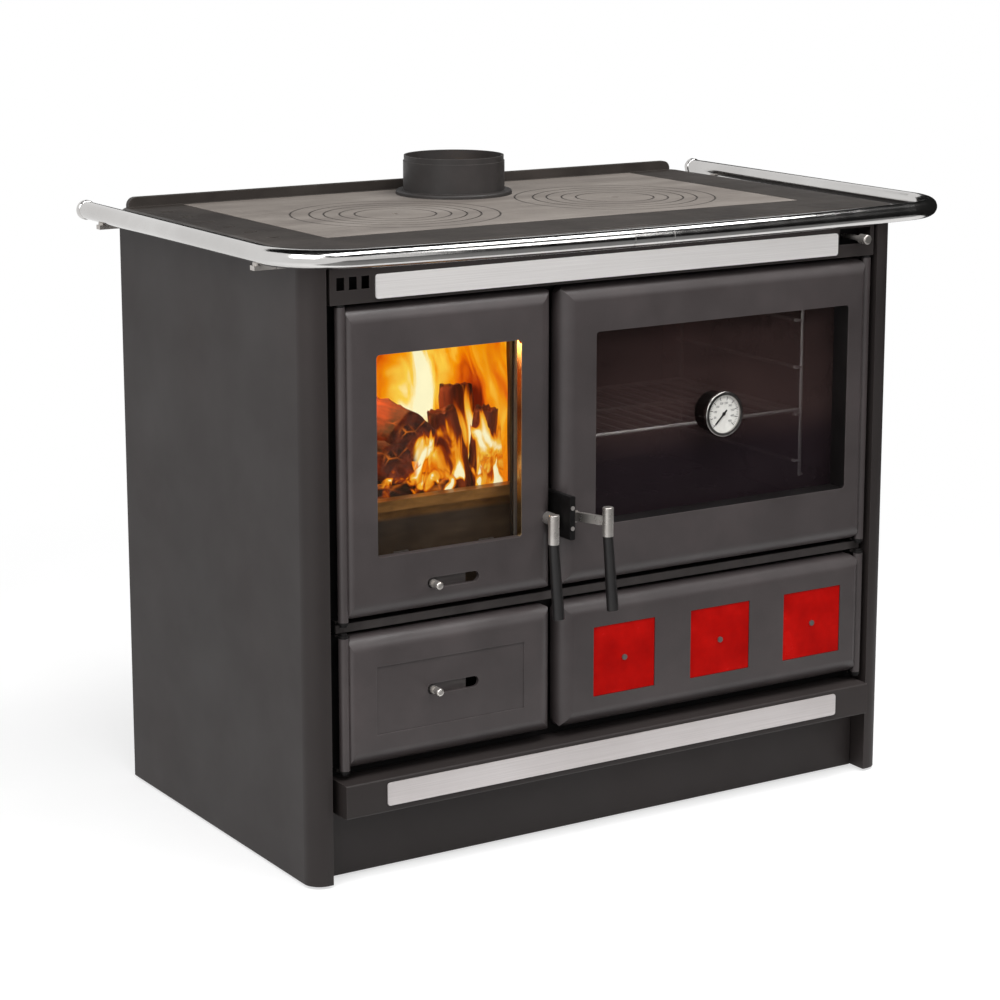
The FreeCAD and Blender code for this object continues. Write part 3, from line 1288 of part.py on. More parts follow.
def log_retainer():
    """Upright plate behind the fire door with its top edge folded forwards."""
    x = lining_x()
    y = CASING_Y + RETAINER_SETBACK
    x0 = x[0] + LINING + RETAINER_GAP
    x1 = x[1] - LINING - RETAINER_GAP
    z1 = HEARTH_TOP + RETAINER_HEIGHT
    plate = block(x0, x1, y, y + RETAINER_THICK, HEARTH_TOP, z1)
    lip = block(x0, x1, y - RETAINER_LIP, y + RETAINER_THICK, z1 - RETAINER_THICK, z1)
    fold = block(x0, x1, y - RETAINER_LIP, y - RETAINER_LIP + RETAINER_THICK / 2,
                 z1 - RETAINER_LIP, z1)
    return fused([plate, lip, fold])


def ash_pan():
    x = chamber()
    x0 = x[0] + ASH_PAN_SIDE_GAP
    x1 = x[1] - ASH_PAN_SIDE_GAP
    x0 = max(x0, FIRE_OPENING[0] + SHEET)
    x1 = min(x1, FIRE_OPENING[1] - SHEET)
    y0 = CASING_Y + ASH_PAN_FRONT_GAP
    y1 = CASING_END - ASH_PAN_BACK_GAP
    s = ASH_PAN_SHEET
    pan = block(x0, x1, y0, y1, ASH_FLOOR, ASH_FLOOR + ASH_PAN_HEIGHT)
    pan = pan.cut(block(x0 + s, x1 - s, y0 + s, y1 - s, ASH_FLOOR + s,
                        ASH_FLOOR + ASH_PAN_HEIGHT))
    mid = (x0 + x1) / 2
    z = ASH_FLOOR + ASH_PAN_HEIGHT - ASH_PAN_HANDLE_DROP
    r = ASH_PAN_HANDLE_ROD
    reach = y0 - ASH_PAN_FRONT_GAP / 2
    parts = [pan, rod_x(mid - ASH_PAN_HANDLE / 2, mid + ASH_PAN_HANDLE / 2, reach, z, r)]
    for side in (-1, 1):
        parts.append(rod_y(mid + side * (ASH_PAN_HANDLE / 2 - 2 * r), reach, y0 + s / 2, z, r))
    return fused(parts)


def oven_box():
    """Oven liner: a deep-drawn box, open at the front frame."""
    s = OVEN_SHEET
    outer_x = grown(OVEN_OPENING, s)
    outer_z = grown(UPPER_OPENING, s)
    box = block(outer_x[0], outer_x[1], CASING_Y, OVEN_BOX_END, outer_z[0], outer_z[1])
    return box.cut(block(OVEN_OPENING[0], OVEN_OPENING[1], CASING_Y, OVEN_BOX_END - s,
                         UPPER_OPENING[0], UPPER_OPENING[1]))


def guide_levels():
    return [UPPER_OPENING[0] + GUIDE_FIRST + i * GUIDE_PITCH for i in range(GUIDE_LEVELS)]


def oven_guides():
    """Wire side racks: two uprights and a runner at each level, on small wall studs."""
    y0 = CASING_Y + GUIDE_FRONT
    y1 = OVEN_BOX_END - GUIDE_BACK
    levels = guide_levels()
    low = levels[0] - GUIDE_PITCH / 3
    high = levels[-1] + GUIDE_PITCH / 3
    racks = []
    for wall, side in ((OVEN_OPENING[0], 1), (OVEN_OPENING[1], -1)):
        x = wall + side * GUIDE_OFFSET
        parts = []
        for y in (y0, y1):
            parts.append(rod_z(x, y, low, high, GUIDE_WIRE))
            for z in (low + GUIDE_WIRE, high - GUIDE_WIRE):
                parts.append(rod_x(min(wall, x), max(wall, x), y, z, GUIDE_WIRE - 0.5))
        for z in levels:
            runner = x + side * GUIDE_REACH
            parts.append(rod_y(runner, y0, y1, z, GUIDE_WIRE))
            for y in (y0, y1):
                parts.append(rod_x(min(x, runner), max(x, runner), y, z, GUIDE_WIRE - 0.5))
        racks.append(fused(parts))
    return Part.makeCompound(racks)


def oven_shelf():
    """Wire shelf: a round-wire border with bars from front to back."""
    z = guide_levels()[SHELF_LEVEL] + GUIDE_WIRE + SHELF_WIRE
    x0 = OVEN_OPENING[0] + SHELF_SIDE_GAP
    x1 = OVEN_OPENING[1] - SHELF_SIDE_GAP
    y0 = CASING_Y + GUIDE_FRONT
    y1 = OVEN_BOX_END - GUIDE_BACK
    r = SHELF_WIRE
    parts = [rod_x(x0, x1, y, z, r) for y in (y0 + r, (y0 + y1) / 2, y1 - r)]
    parts += [rod_y(x, y0, y1, z, r) for x in (x0 + r, x1 - r)]
    pitch = (x1 - x0 - 4 * r) / (SHELF_BARS + 1)
    for i in range(SHELF_BARS):
        x = x0 + 2 * r + (i + 1) * pitch
        parts.append(rod_y(x, y0 + r, y1 - r, z, r * 0.6))
    return fused(parts)


def duct_span():
    """The falling smoke duct between the oven's right wall and its casing."""
    return (OVEN_OPENING[1] + OVEN_SHEET, OVEN_CASING[1] - CASING_SHEET)


def damper_slots(x, z0, z1, shift):
    start = CASING_Y + DAMPER_TRAVEL + DAMPER_PLATE
    cuts = []
    for i in range(DAMPER_SLOTS):
        y = start + shift + i * DAMPER_SLOT_PITCH
        cuts.append(block(x[0], x[1], y, y + DAMPER_SLOT_RUN, z0, z1))
    return Part.makeCompound(cuts)


def damper_level():
    return UPPER_OPENING[1] + OVEN_SHEET


def flue_baffle():
    """Fixed slotted plate over the duct, level with the top of the oven."""
    x = duct_span()
    z = damper_level()
    plate = block(x[0] - GUIDE_REACH, x[1], CASING_Y, CASING_END - CASING_SHEET,
                  z, z + DAMPER_PLATE)
    edge = (x[0] + 2 * SHEET, x[1] - 2 * SHEET)
    return plate.cut(damper_slots(edge, z, z + DAMPER_PLATE, 0))


def damper_plate():
    """Sliding slotted plate on the baffle, with an upright tab for the rod."""
    x = duct_span()
    z = damper_level() + DAMPER_PLATE + SLIDE_GAP
    y0 = CASING_Y + DAMPER_TRAVEL + DAMPER_PLATE - DAMPER_TRAVEL / 2
    y1 = y0 + DAMPER_SLOTS * DAMPER_SLOT_PITCH + DAMPER_SLOT_RUN
    plate = block(x[0] + SLIDE_GAP, x[1] - SLIDE_GAP, y0 + DAMPER_TRAVEL / 2, y1,
                  z, z + DAMPER_PLATE)
    edge = (x[0] + 2 * SHEET, x[1] - 2 * SHEET)
    plate = plate.cut(damper_slots(edge, z, z + DAMPER_PLATE, DAMPER_TRAVEL))
    y = y0 + DAMPER_TRAVEL / 2
    tab = block(DAMPER_X - 2 * DAMPER_ROD, DAMPER_X + 2 * DAMPER_ROD, y, y + DAMPER_PLATE,
                z, DAMPER_Z + 2 * DAMPER_ROD)
    plate = plate.fuse(tab).removeSplitter()
    return plate.cut(rod_y(DAMPER_X, y, y + DAMPER_PLATE, DAMPER_Z, DAMPER_ROD))


def damper_rod():
    """Pull rod with its knob, from the slide's tab out through the fascia's slot."""
    end = CASING_Y + DAMPER_TRAVEL + 2 * DAMPER_PLATE + DAMPER_PLATE
    front = -DAMPER_KNOB_PROUD
    rod = rod_y(DAMPER_X, front, end, DAMPER_Z, DAMPER_ROD)
    knob = rod_y(DAMPER_X, front - DAMPER_KNOB_LENGTH / 2, front + DAMPER_KNOB_LENGTH / 2,
                 DAMPER_Z, DAMPER_KNOB_RADIUS)
    knob = knob.makeFillet(2.5, edges_at(knob, 1, front - DAMPER_KNOB_LENGTH / 2))
    return fused([rod, knob])


def damper_slide():
    return fused([damper_plate(), damper_rod()])


# ---- export ----
NODES = {
    "side_panel_left": side_panel_left,
    "side_panel_right": lambda: mirrored(side_panel_left()),
    "back_panel": back_panel,
    "base_tray": base_tray,
    "levelling_feet": levelling_feet,
    "plinth": plinth,
    "bottom_bar": bottom_bar,
    "trim_strips": trim_strips,
    "fascia": fascia,
    "front_frame": front_frame,
    "hinge_pins": hinge_pins,
    "latch_keeper": latch_keeper,
    "top_frame": top_frame,
    "hob_plate": hob_plate,
    "hob_ring_left": lambda: hob_ring(-1),
    "hob_ring_right": lambda: hob_ring(1),
    "hob_disc_left": lambda: hob_disc(-1),
    "hob_disc_right": lambda: hob_disc(1),
    "flue_spigot": flue_spigot,
    "hand_rail": hand_rail,
    "rail_end_caps": rail_end_caps,
    "rail_brackets": rail_brackets,
    "firebox_casing": firebox_casing,
    "oven_casing": oven_casing,
    "firebox_side_left": lambda: firebox_side(-1),
    "firebox_side_right": lambda: firebox_side(1),
    "firebox_back": firebox_back,
    "hearth_plate": hearth_plate,
    "fire_grate": fire_grate,
    "log_retainer": log_retainer,
    "ash_pan": ash_pan,
    "oven_box": oven_box,
    "oven_guides": oven_guides,
    "oven_shelf": oven_shelf,
    "flue_baffle": flue_baffle,
    "damper_slide": damper_slide,
    "fire_door": fire_door,
    "fire_door_glass": lambda: glass_pane(FIRE_WINDOW, FIRE_GLASS_DEPTH),
    "fire_glass_clips": lambda: glass_clips(FIRE_WINDOW, FIRE_GLASS_DEPTH),
    "fire_door_gasket": lambda: gasket(FIRE_OPEN),
    "fire_air_slide": lambda: air_slide(FIRE_SLOT_Z),
    "fire_air_knob": lambda: air_knob(FIRE_SLOT_Z),
    "fire_handle_arm": lambda: handle(FIRE_SPINDLE_X, -FIRE_HANDLE_REACH),
    "fire_handle_grip": lambda: handle_grip(FIRE_SPINDLE_X, -FIRE_HANDLE_REACH),
    "ash_door": ash_door,
    "ash_air_slide": lambda: air_slide(ASH_SLOT_Z),
    "ash_air_knob": lambda: air_knob(ASH_SLOT_Z),
    "ash_door_gasket": lambda: gasket(ASH_OPEN),
    "oven_door": oven_door,
    "oven_door_glass": oven_glass,
    "oven_glass_clips": lambda: glass_clips(OVEN_WINDOW, OVEN_GLASS_DEPTH),
    "oven_door_gasket": lambda: gasket(OVEN_OPEN),
    "gauge_case": gauge_case,
    "gauge_dial": gauge_dial,
    "gauge_needle": gauge_needle,
    "oven_handle_arm": lambda: handle(OVEN_SPINDLE_X, OVEN_HANDLE_REACH),
    "oven_handle_grip": lambda: handle_grip(OVEN_SPINDLE_X, OVEN_HANDLE_REACH),
    "tile_door": tile_door,
    "red_tiles": red_tiles,
    "tile_screws": tile_screws,
}


def main():
    os.makedirs("parts", exist_ok=True)
    for name, make in NODES.items():
        shape = make()
        shape.translate(V(0, -ORIGIN_Y, FLOOR_GAP))
        shape.exportStep("parts/" + name + ".step")
        print(name, len(shape.Solids), round(shape.Volume / 1000, 1), shape.isValid())


main()
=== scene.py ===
import json
import math
import random

import bpy
from mathutils import Matrix, Vector, noise


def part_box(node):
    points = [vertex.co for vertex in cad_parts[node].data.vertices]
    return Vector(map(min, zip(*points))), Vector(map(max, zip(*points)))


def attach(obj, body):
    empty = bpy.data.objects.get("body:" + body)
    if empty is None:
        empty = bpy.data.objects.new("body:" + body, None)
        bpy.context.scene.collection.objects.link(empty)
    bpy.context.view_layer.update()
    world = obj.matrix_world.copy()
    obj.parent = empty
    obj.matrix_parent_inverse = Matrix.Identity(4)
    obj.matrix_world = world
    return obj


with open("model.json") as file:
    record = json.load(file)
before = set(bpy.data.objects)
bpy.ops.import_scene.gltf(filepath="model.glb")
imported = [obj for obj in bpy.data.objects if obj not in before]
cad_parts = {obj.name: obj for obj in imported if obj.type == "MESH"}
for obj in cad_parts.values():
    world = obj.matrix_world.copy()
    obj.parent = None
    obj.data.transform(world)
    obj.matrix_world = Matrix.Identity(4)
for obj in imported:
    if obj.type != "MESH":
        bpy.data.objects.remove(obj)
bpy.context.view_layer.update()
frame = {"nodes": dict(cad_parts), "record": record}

# ---- places, in metres: the stove stands on z = 0 and faces -y ----
FACE_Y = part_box("oven_door")[0][1]                 # plane of the doors' faces
FIRE_WINDOW = ((-0.377, -0.155), (0.439, 0.707))   # openings in the doors: x, then z
OVEN_WINDOW = ((-0.036, 0.399), (0.439, 0.707))
HOB_RINGS_X, HOB_RINGS_Y = 0.185, 0.04975          # centre of the right ring set
GAUGE_CENTRE = Vector((0.1815, 0, 0.571))
SCREWS_Y = (-0.2677, -0.2675)      # the keeper's screws are in front of this, its body behind
DRUM_Y = (-0.2253, -0.2249)        # the gauge's bezel is in front of this, its drum behind
STRIPS_Z = (0.4, 0.5)              # one trim strip is above this, one below
SHELF_Z = (0.505, 0.575)           # round the height of the shelf's front wire
FOLD_Z = (0.470, 0.478)            # start of the log retainer's folded top edge

# A noise texture stays mostly between these values.
NOISE_LOW, NOISE_HIGH = 0.3, 0.7


# ---- helpers for materials ----
def srgb(r, g, b):
    """Linear colour of an 8-bit sRGB one."""
    def lin(c):
        c = c / 255
        return c / 12.92 if c <= 0.04045 else ((c + 0.055) / 1.055) ** 2.4
    return (lin(r), lin(g), lin(b), 1.0)


class Tree:
    """Short names for building a node tree. Ramps and mixes take colours as 8-bit triples."""

    def __init__(self, owner):
        owner.use_nodes = True
        self.nodes = owner.node_tree.nodes
        self.links = owner.node_tree.links
        self.nodes.clear()

    def node(self, kind, sockets, **props):
        n = self.nodes.new(kind)
        for key, value in props.items():
            setattr(n, key, value)
        for key, value in sockets.items():
            self.put(n.inputs[key], value)
        return n

    def put(self, socket, value):
        if isinstance(value, bpy.types.NodeSocket):
            self.links.new(value, socket)
        else:
            socket.default_value = value

    def coords(self, stretch=(1, 1, 1), shift=(0, 0, 0)):
        here = self.node("ShaderNodeTexCoord", {}).outputs["Object"]
        return self.node("ShaderNodeMapping", {"Vector": here, "Scale": stretch,
                                               "Location": shift}).outputs["Vector"]

    def noise(self, vector, scale, detail=3.0, rough=0.5, distortion=0.0):
        return self.node("ShaderNodeTexNoise",
                         {"Vector": vector, "Scale": scale, "Detail": detail, "Roughness": rough,
                          "Distortion": distortion}).outputs["Fac"]

    def warped(self, vector, scale, push):
        """The coordinates pushed about by a coarse noise, so that flames curl."""
        warp = self.node("ShaderNodeTexNoise", {"Vector": vector, "Scale": scale, "Detail": 2.0})
        return self.node("ShaderNodeVectorMath", {0: warp.outputs["Color"], 1: push, 2: vector},
                         operation="MULTIPLY_ADD").outputs[0]

    def cells(self, vector, scale, feature="F1"):
        return self.node("ShaderNodeTexVoronoi", {"Vector": vector, "Scale": scale},
                         feature=feature).outputs["Distance"]

    def ramp(self, fac, *stops):
        n = self.node("ShaderNodeValToRGB", {"Fac": fac})
        elements = n.color_ramp.elements
        while len(elements) < len(stops):
            elements.new(0.5)
        for element, (place, colour) in zip(elements, stops):
            element.position = place
            element.color = srgb(*colour)
        return n.outputs["Color"]

    def mottle(self, fac, *colours):
        """The colours, evenly over the values that a noise has."""
        step = (NOISE_HIGH - NOISE_LOW) / (len(colours) - 1)
        return self.ramp(fac, *((NOISE_LOW + step * i, c) for i, c in enumerate(colours)))

    def span(self, value, a, b, c=0.0, d=1.0, smooth=False):
        """The value's range a to b, mapped to c to d and held beyond its ends."""
        return self.node("ShaderNodeMapRange",
                         {"Value": value, "From Min": a, "From Max": b, "To Min": c, "To Max": d},
                         interpolation_type="SMOOTHSTEP" if smooth else "LINEAR").outputs["Result"]

    def vary(self, fac, low, high):
        """From low to high over the values that a noise has."""
        return self.span(fac, NOISE_LOW, NOISE_HIGH, low, high)

    def math(self, kind, a, b=0.0):
        return self.node("ShaderNodeMath", {0: a, 1: b}, operation=kind).outputs[0]

    def mix(self, fac, a, b):
        a, b = (c if isinstance(c, bpy.types.NodeSocket) else srgb(*c) for c in (a, b))
        return self.node("ShaderNodeMix", {"Factor": fac, "A": a, "B": b},
                         data_type="RGBA").outputs["Result"]

    def split(self, vector):
        return self.node("ShaderNodeSeparateXYZ", {0: vector}).outputs

    def point(self, x, y):
        return self.node("ShaderNodeCombineXYZ", {0: x, 1: y}).outputs[0]

    def distance(self, a, b=(0, 0, 0)):
        return self.node("ShaderNodeVectorMath", {0: a, 1: b}, operation="DISTANCE").outputs["Value"]

    def bump(self, height, strength, distance, **normal):
        return self.node("ShaderNodeBump", {"Height": height, "Strength": strength,
                                            "Distance": distance, **normal}).outputs["Normal"]

    def edges(self, radius):
        """1 along convex and concave edges, 0 on flat ground."""
        rounded = self.node("ShaderNodeBevel", {"Radius": radius}, samples=4).outputs["Normal"]
        plain = self.node("ShaderNodeNewGeometry", {}).outputs["Normal"]
        turn = self.node("ShaderNodeVectorMath", {0: rounded, 1: plain}, operation="DOT_PRODUCT")
        return self.span(turn.outputs["Value"], 0.995, 0.86)

    def lit_edges(self, colour, highlight, amount=0.5):
        """The colour, patchily lightened along the edges: a painted highlight."""
        patchy_highlight = self.span(self.noise(self.coords(), 40, 4, 0.7), 0.35, 0.65, 0.2, amount)
        return self.mix(self.math("MULTIPLY", self.edges(0.0015), patchy_highlight), colour, highlight)

    def within(self, bounds, soft=0.0008):
        """1 inside a box given as three (low, high) pairs, None where it has no limit."""
        value = None
        for axis, limits in zip(self.split(self.coords()), bounds):
            for at, rising in zip(limits, (True, False)):
                if at is None:
                    continue
                lo, hi = (at - soft, at + soft) if rising else (at + soft, at - soft)
                side = self.span(axis, lo, hi)
                value = side if value is None else self.math("MULTIPLY", value, side)
        return value

    def seen(self):
        """1 for rays from the camera, a reflection or a pane, 0 for rays that only light."""
        rays = self.node("ShaderNodeLightPath", {}).outputs
        return self.math("MAXIMUM", rays["Is Camera Ray"],
                         self.math("MAXIMUM", rays["Is Glossy Ray"], rays["Is Transmission Ray"]))

    def emission(self, colour, strength):
        return self.node("ShaderNodeEmission", {"Color": colour, "Strength": strength}).outputs[0]

    def shader_mix(self, fac, a, b):
        return self.node("ShaderNodeMixShader", {0: fac, 1: a, 2: b}).outputs[0]

    def output(self, shader, kind="ShaderNodeOutputMaterial"):
        self.node(kind, {"Surface": shader})

    def surface(self, **sockets):
        named = {key.replace("_", " "): value for key, value in sockets.items()}
        self.output(self.node("ShaderNodeBsdfPrincipled", named).outputs[0])


def new_material(name):
    m = bpy.data.materials.new(name)
    return m, Tree(m)


def finish_of(name, colours, scale, rough, grain, stretch=(1, 1, 1), rough_scale=None,
              grain_strength=0.25, grain_distance=0.0002, wear=None, speckle=0.0, patches=(),
              **constants):
    """Mottled colour, uneven gloss, fine grain and a painted highlight along the edges, all in
    object space.

    A patch is a box with colours of its own; one with a gloss is also polished metal."""
    m, t = new_material(name)
    at = t.coords(stretch)
    colour = t.mottle(t.noise(at, scale, 5, 0.6), *colours)
    if speckle:
        dust = t.span(t.noise(t.coords(), 1300, 2, 0.7), 0.56, 0.72, 0.0, speckle)
        colour = t.mix(dust, colour, colours[-1])
    # wear is the colour of a painted highlight along the edges
    if wear:
        colour = t.lit_edges(colour, wear)
    gloss = t.vary(t.noise(at, rough_scale or scale * 2.3, 4, 0.6), *rough)
    fine = t.noise(at, grain, 4, 0.65)
    for bounds, inside, patch_gloss in patches:
        mask = t.within(bounds)
        colour = t.mix(mask, colour, t.mottle(t.noise(at, scale * 3, 4, 0.6), *inside))
        if patch_gloss is not None:
            gloss = t.math("ADD", t.math("MULTIPLY", gloss, t.math("SUBTRACT", 1.0, mask)),
                           t.math("MULTIPLY", mask, patch_gloss))
            constants = dict(constants, Metallic=mask)
    t.surface(Base_Color=colour, Roughness=gloss,
              Normal=t.bump(fine, grain_strength, grain_distance), **constants)
    return m


# ---- finishes of the CAD nodes ----
ANY = (None, None)
CROSS_BAR_LIT_FRONT = (ANY, (-0.216, -0.212), ANY)     # front face of the bar between the door rows, painted lighter than the rest of the frame: painted light
SHELF_FRONT_LIT = (ANY, (None, -0.116), ANY)           # the wires nearest to the oven's window, painted bright: painted light

# Each wear colour is a painted highlight along the part's edges.
FINISHES = {
    "outer_paint": dict(
        colours=[(38, 33, 32), (42, 37, 36), (47, 41, 40)], wear=(80, 74, 72), speckle=0.35,
        scale=3.0, rough=(0.52, 0.62), grain=1500, grain_strength=0.35, Specular_IOR_Level=0.3),
    "frame_paint": dict(
        colours=[(12, 10, 10), (16, 14, 14), (21, 19, 19)], wear=(40, 38, 37),
        scale=9.0, rough=(0.5, 0.65), grain=1200, Specular_IOR_Level=0.2,
        # the cross bar's front face is painted lighter than the frame: painted light
        patches=[(CROSS_BAR_LIT_FRONT, [(58, 54, 53), (72, 67, 66)], None)]),
    "top_iron": dict(
        colours=[(40, 36, 34), (48, 44, 41), (58, 53, 50)], wear=(112, 106, 101),
        scale=9.0, rough=(0.34, 0.46), grain=500, grain_strength=0.3, Specular_IOR_Level=0.12),
    "spigot_iron": dict(
        colours=[(34, 31, 30), (40, 37, 36), (47, 43, 42)], wear=(92, 88, 85),
        scale=18.0, rough=(0.45, 0.6), grain=600, grain_strength=0.6, grain_distance=0.0004,
        Specular_IOR_Level=0.35),
    "lining_iron": dict(
        colours=[(36, 26, 20), (62, 46, 36), (98, 78, 62)], wear=(128, 104, 84),
        scale=14.0, rough=(0.7, 0.9), grain=180, grain_strength=0.8, grain_distance=0.001),
    "inner_sheet": dict(
        colours=[(30, 29, 29), (38, 36, 36), (47, 45, 44)], wear=(84, 82, 80),
        scale=8.0, rough=(0.5, 0.7), grain=800),
    "oven_enamel": dict(
        colours=[(27, 21, 20), (34, 27, 25), (42, 34, 31)], speckle=0.3,
        scale=8.0, rough=(0.25, 0.35), grain=300, grain_strength=0.08, Specular_IOR_Level=0.4),
    "oven_wire": dict(
        # the wires are painted dark as painted shade inside the oven, the front ones bright as
        # painted light
        colours=[(64, 58, 55), (80, 74, 70), (96, 90, 86)],
        scale=30.0, rough=(0.3, 0.42), grain=900, grain_strength=0.1,
        patches=[(SHELF_FRONT_LIT, [(226, 222, 218), (244, 242, 240)], None)]),
    "rail_chrome": dict(
        colours=[(186, 184, 182), (198, 196, 194), (210, 209, 207)],
        scale=5.0, rough=(0.1, 0.17), rough_scale=40, grain=1100, grain_strength=0.08,
        Metallic=1.0),
    "fitting_chrome": dict(
        colours=[(168, 163, 158), (184, 179, 174), (200, 196, 191)],
        scale=25.0, rough=(0.24, 0.36), rough_scale=90, grain=1300, grain_strength=0.06,
        Metallic=0.8),
    "slide_steel": dict(
        colours=[(60, 54, 53), (68, 62, 61), (78, 72, 70)], wear=(110, 104, 100),
        scale=30.0, stretch=(1, 1, 8), rough=(0.4, 0.5), grain=600),
    "foot_steel": dict(
        colours=[(112, 110, 108), (126, 124, 121), (140, 137, 134)], wear=(180, 178, 175),
        scale=40.0, rough=(0.3, 0.45), grain=700, Metallic=0.9),
    "grip_black": dict(
        colours=[(15, 13, 13), (19, 17, 17), (24, 22, 21)], wear=(50, 48, 47),
        scale=60.0, stretch=(1, 1, 0.3), rough=(0.36, 0.5), grain=1100, grain_strength=0.3,
        Specular_IOR_Level=0.4),
    "needle_red": dict(
        colours=[(20, 18, 18), (26, 23, 23), (34, 30, 30)],
        scale=200.0, rough=(0.3, 0.4), grain=2000, grain_strength=0.05),
}

# The inside of a window opening, behind the rounding of its edges.
MARGIN = 0.002
REVEAL_Y = (FACE_Y + 0.0015, None)


def door_iron(name, patches=()):
    """Cast iron door; the inside of a window opening can take colours of its own, used for painted
    shade and painted firelight.
    """
    # wear is a painted highlight along the door's edges
    return finish_of(name, [(58, 52, 52), (64, 58, 58), (71, 64, 64)], scale=10.0,
                     rough=(0.36, 0.46), grain=700, grain_strength=0.45, grain_distance=0.0003,
                     wear=(108, 102, 102), speckle=0.4, patches=patches, Specular_IOR_Level=0.5)


def oven_door_iron_painted_shade():
    """The opening of the oven's window is painted black all round: painted shade in its recess."""
    (x0, x1), (z0, z1) = OVEN_WINDOW
    inside = ((x0 - MARGIN, x1 + MARGIN), REVEAL_Y, (z0 - MARGIN, z1 + MARGIN))
    return door_iron("door_iron_oven", [(inside, [(10, 8, 8), (18, 15, 15)], None)])


def fire_door_iron_painted_firelight():
    """The right side of the fire window's opening is painted pale orange and polished: painted
    firelight on it.
    """
    (_, x1), (z0, z1) = FIRE_WINDOW
    inside = ((x1 - MARGIN, x1 + 2 * MARGIN), REVEAL_Y, (z0 - MARGIN, z1 + MARGIN))
    # pale orange polished patch: painted firelight
    return door_iron("door_iron_fire", [(inside, [(206, 176, 128), (230, 204, 156)], 0.16)])


def hob_iron():
    """Paler iron with a painted highlight along its edges and turned grooves round the middle of
    both ring sets.
    """
    m, t = new_material("hob_iron")
    at = t.coords((1, 4, 1))
    x, y, _ = t.split(t.coords())
    radius = t.distance(t.point(t.math("SUBTRACT", t.math("ABSOLUTE", x), HOB_RINGS_X),
                                t.math("SUBTRACT", y, HOB_RINGS_Y)))
    grooves = None
    for groove in (0.057, 0.078, 0.100, 0.120, 0.1465):
        off = t.math("ABSOLUTE", t.math("SUBTRACT", radius, groove))
        line = t.span(off, 0.0008, 0.0022, 1.0, 0.0)
        grooves = line if grooves is None else t.math("MAXIMUM", grooves, line)
    iron = t.mottle(t.noise(at, 5.0, 5, 0.6), (108, 101, 96), (119, 112, 106), (131, 124, 118))
    # painted highlight along the hob's edges
    iron = t.lit_edges(iron, (158, 150, 142), 0.7)
    grain = t.math("MULTIPLY", t.noise(at, 260, 4, 0.65), 0.3)
    t.surface(Base_Color=t.mix(t.math("MULTIPLY", grooves, 0.8), iron, (44, 40, 38)),
              Roughness=t.vary(t.noise(t.coords(), 30, 3, 0.5), 0.38, 0.52),
              Metallic=0.15, Specular_IOR_Level=0.15,
              Normal=t.bump(t.math("SUBTRACT", grain, grooves), 0.35, 0.00015))
    return m


def trim_steel():
    """Brushed steel; the strip on the fascia is painted brighter than the one near the floor:
    painted light where the overhang shades it.
    """
    m, t = new_material("trim_steel")
    brushed = t.noise(t.coords((1.2, 60, 420)), 6, 3, 0.6)
    cloud = t.noise(t.coords((2, 2, 2)), 3, 3, 0.5)
    both = t.math("ADD", t.math("MULTIPLY", brushed, 0.6), t.math("MULTIPLY", cloud, 0.4))
    low = t.mottle(both, (182, 176, 174), (199, 193, 192), (215, 210, 209))
    # the brighter colours of the fascia strip are painted light
    high = t.mottle(brushed, (232, 228, 226), (250, 247, 245))
    t.surface(Base_Color=t.mix(t.span(t.split(t.coords())[2], *STRIPS_Z), low, high),
              Roughness=t.vary(brushed, 0.3, 0.44), Metallic=0.4, Anisotropic=0.5,
              Normal=t.bump(brushed, 0.12, 0.0001))
    return m


def fire_glass():
    m, t = new_material("fire_glass")
    smoke = t.noise(t.coords((1, 1, 0.6)), 14, 4, 0.6)
    t.surface(Base_Color=t.mottle(smoke, (60, 44, 30), (92, 70, 48)),
              Alpha=t.span(smoke, 0.3, 0.75, 0.05, 0.12), Roughness=t.vary(smoke, 0.02, 0.07),
              Specular_IOR_Level=0.6, Normal=t.bump(t.noise(t.coords(), 9, 2), 0.02, 0.001))
    return m


def oven_glass():
    """Tinted glass, painted a little lighter above the shelf's front wire: painted light."""
    m, t = new_material("oven_glass")
    smear = t.noise(t.coords((1, 1, 2.5)), 5, 4, 0.55)
    # the lighter colours above the shelf are painted light
    above = t.mottle(smear, (60, 46, 45), (70, 54, 52))
    below = t.mottle(smear, (34, 26, 31), (42, 33, 37))
    height = t.span(t.split(t.coords())[2], *SHELF_Z, smooth=True)
    t.surface(Base_Color=t.mix(height, below, above), Alpha=t.vary(smear, 0.56, 0.62),
              Roughness=t.vary(smear, 0.05, 0.1), Specular_IOR_Level=0.12,
              Normal=t.bump(smear, 0.01, 0.001))
    return m


def rope_seal():
    m, t = new_material("rope_seal")
    weave = t.node("ShaderNodeTexWave", {"Vector": t.coords(), "Scale": 260, "Distortion": 2.0},
                   wave_type="BANDS", bands_direction="DIAGONAL").outputs["Fac"]
    t.surface(Base_Color=t.ramp(weave, (0.2, (70, 66, 60)), (0.8, (128, 121, 110))),
              Roughness=t.span(weave, 0, 1, 0.8, 0.95), Normal=t.bump(weave, 0.9, 0.0008))
    return m


def dial_face():
    m, t = new_material("dial_face")
    paper = t.noise(t.coords(), 160, 3, 0.6)
    t.surface(Base_Color=t.mottle(paper, (222, 220, 214), (236, 234, 229)),
              Roughness=t.vary(paper, 0.35, 0.5), Normal=t.bump(paper, 0.05, 0.0001))
    return m


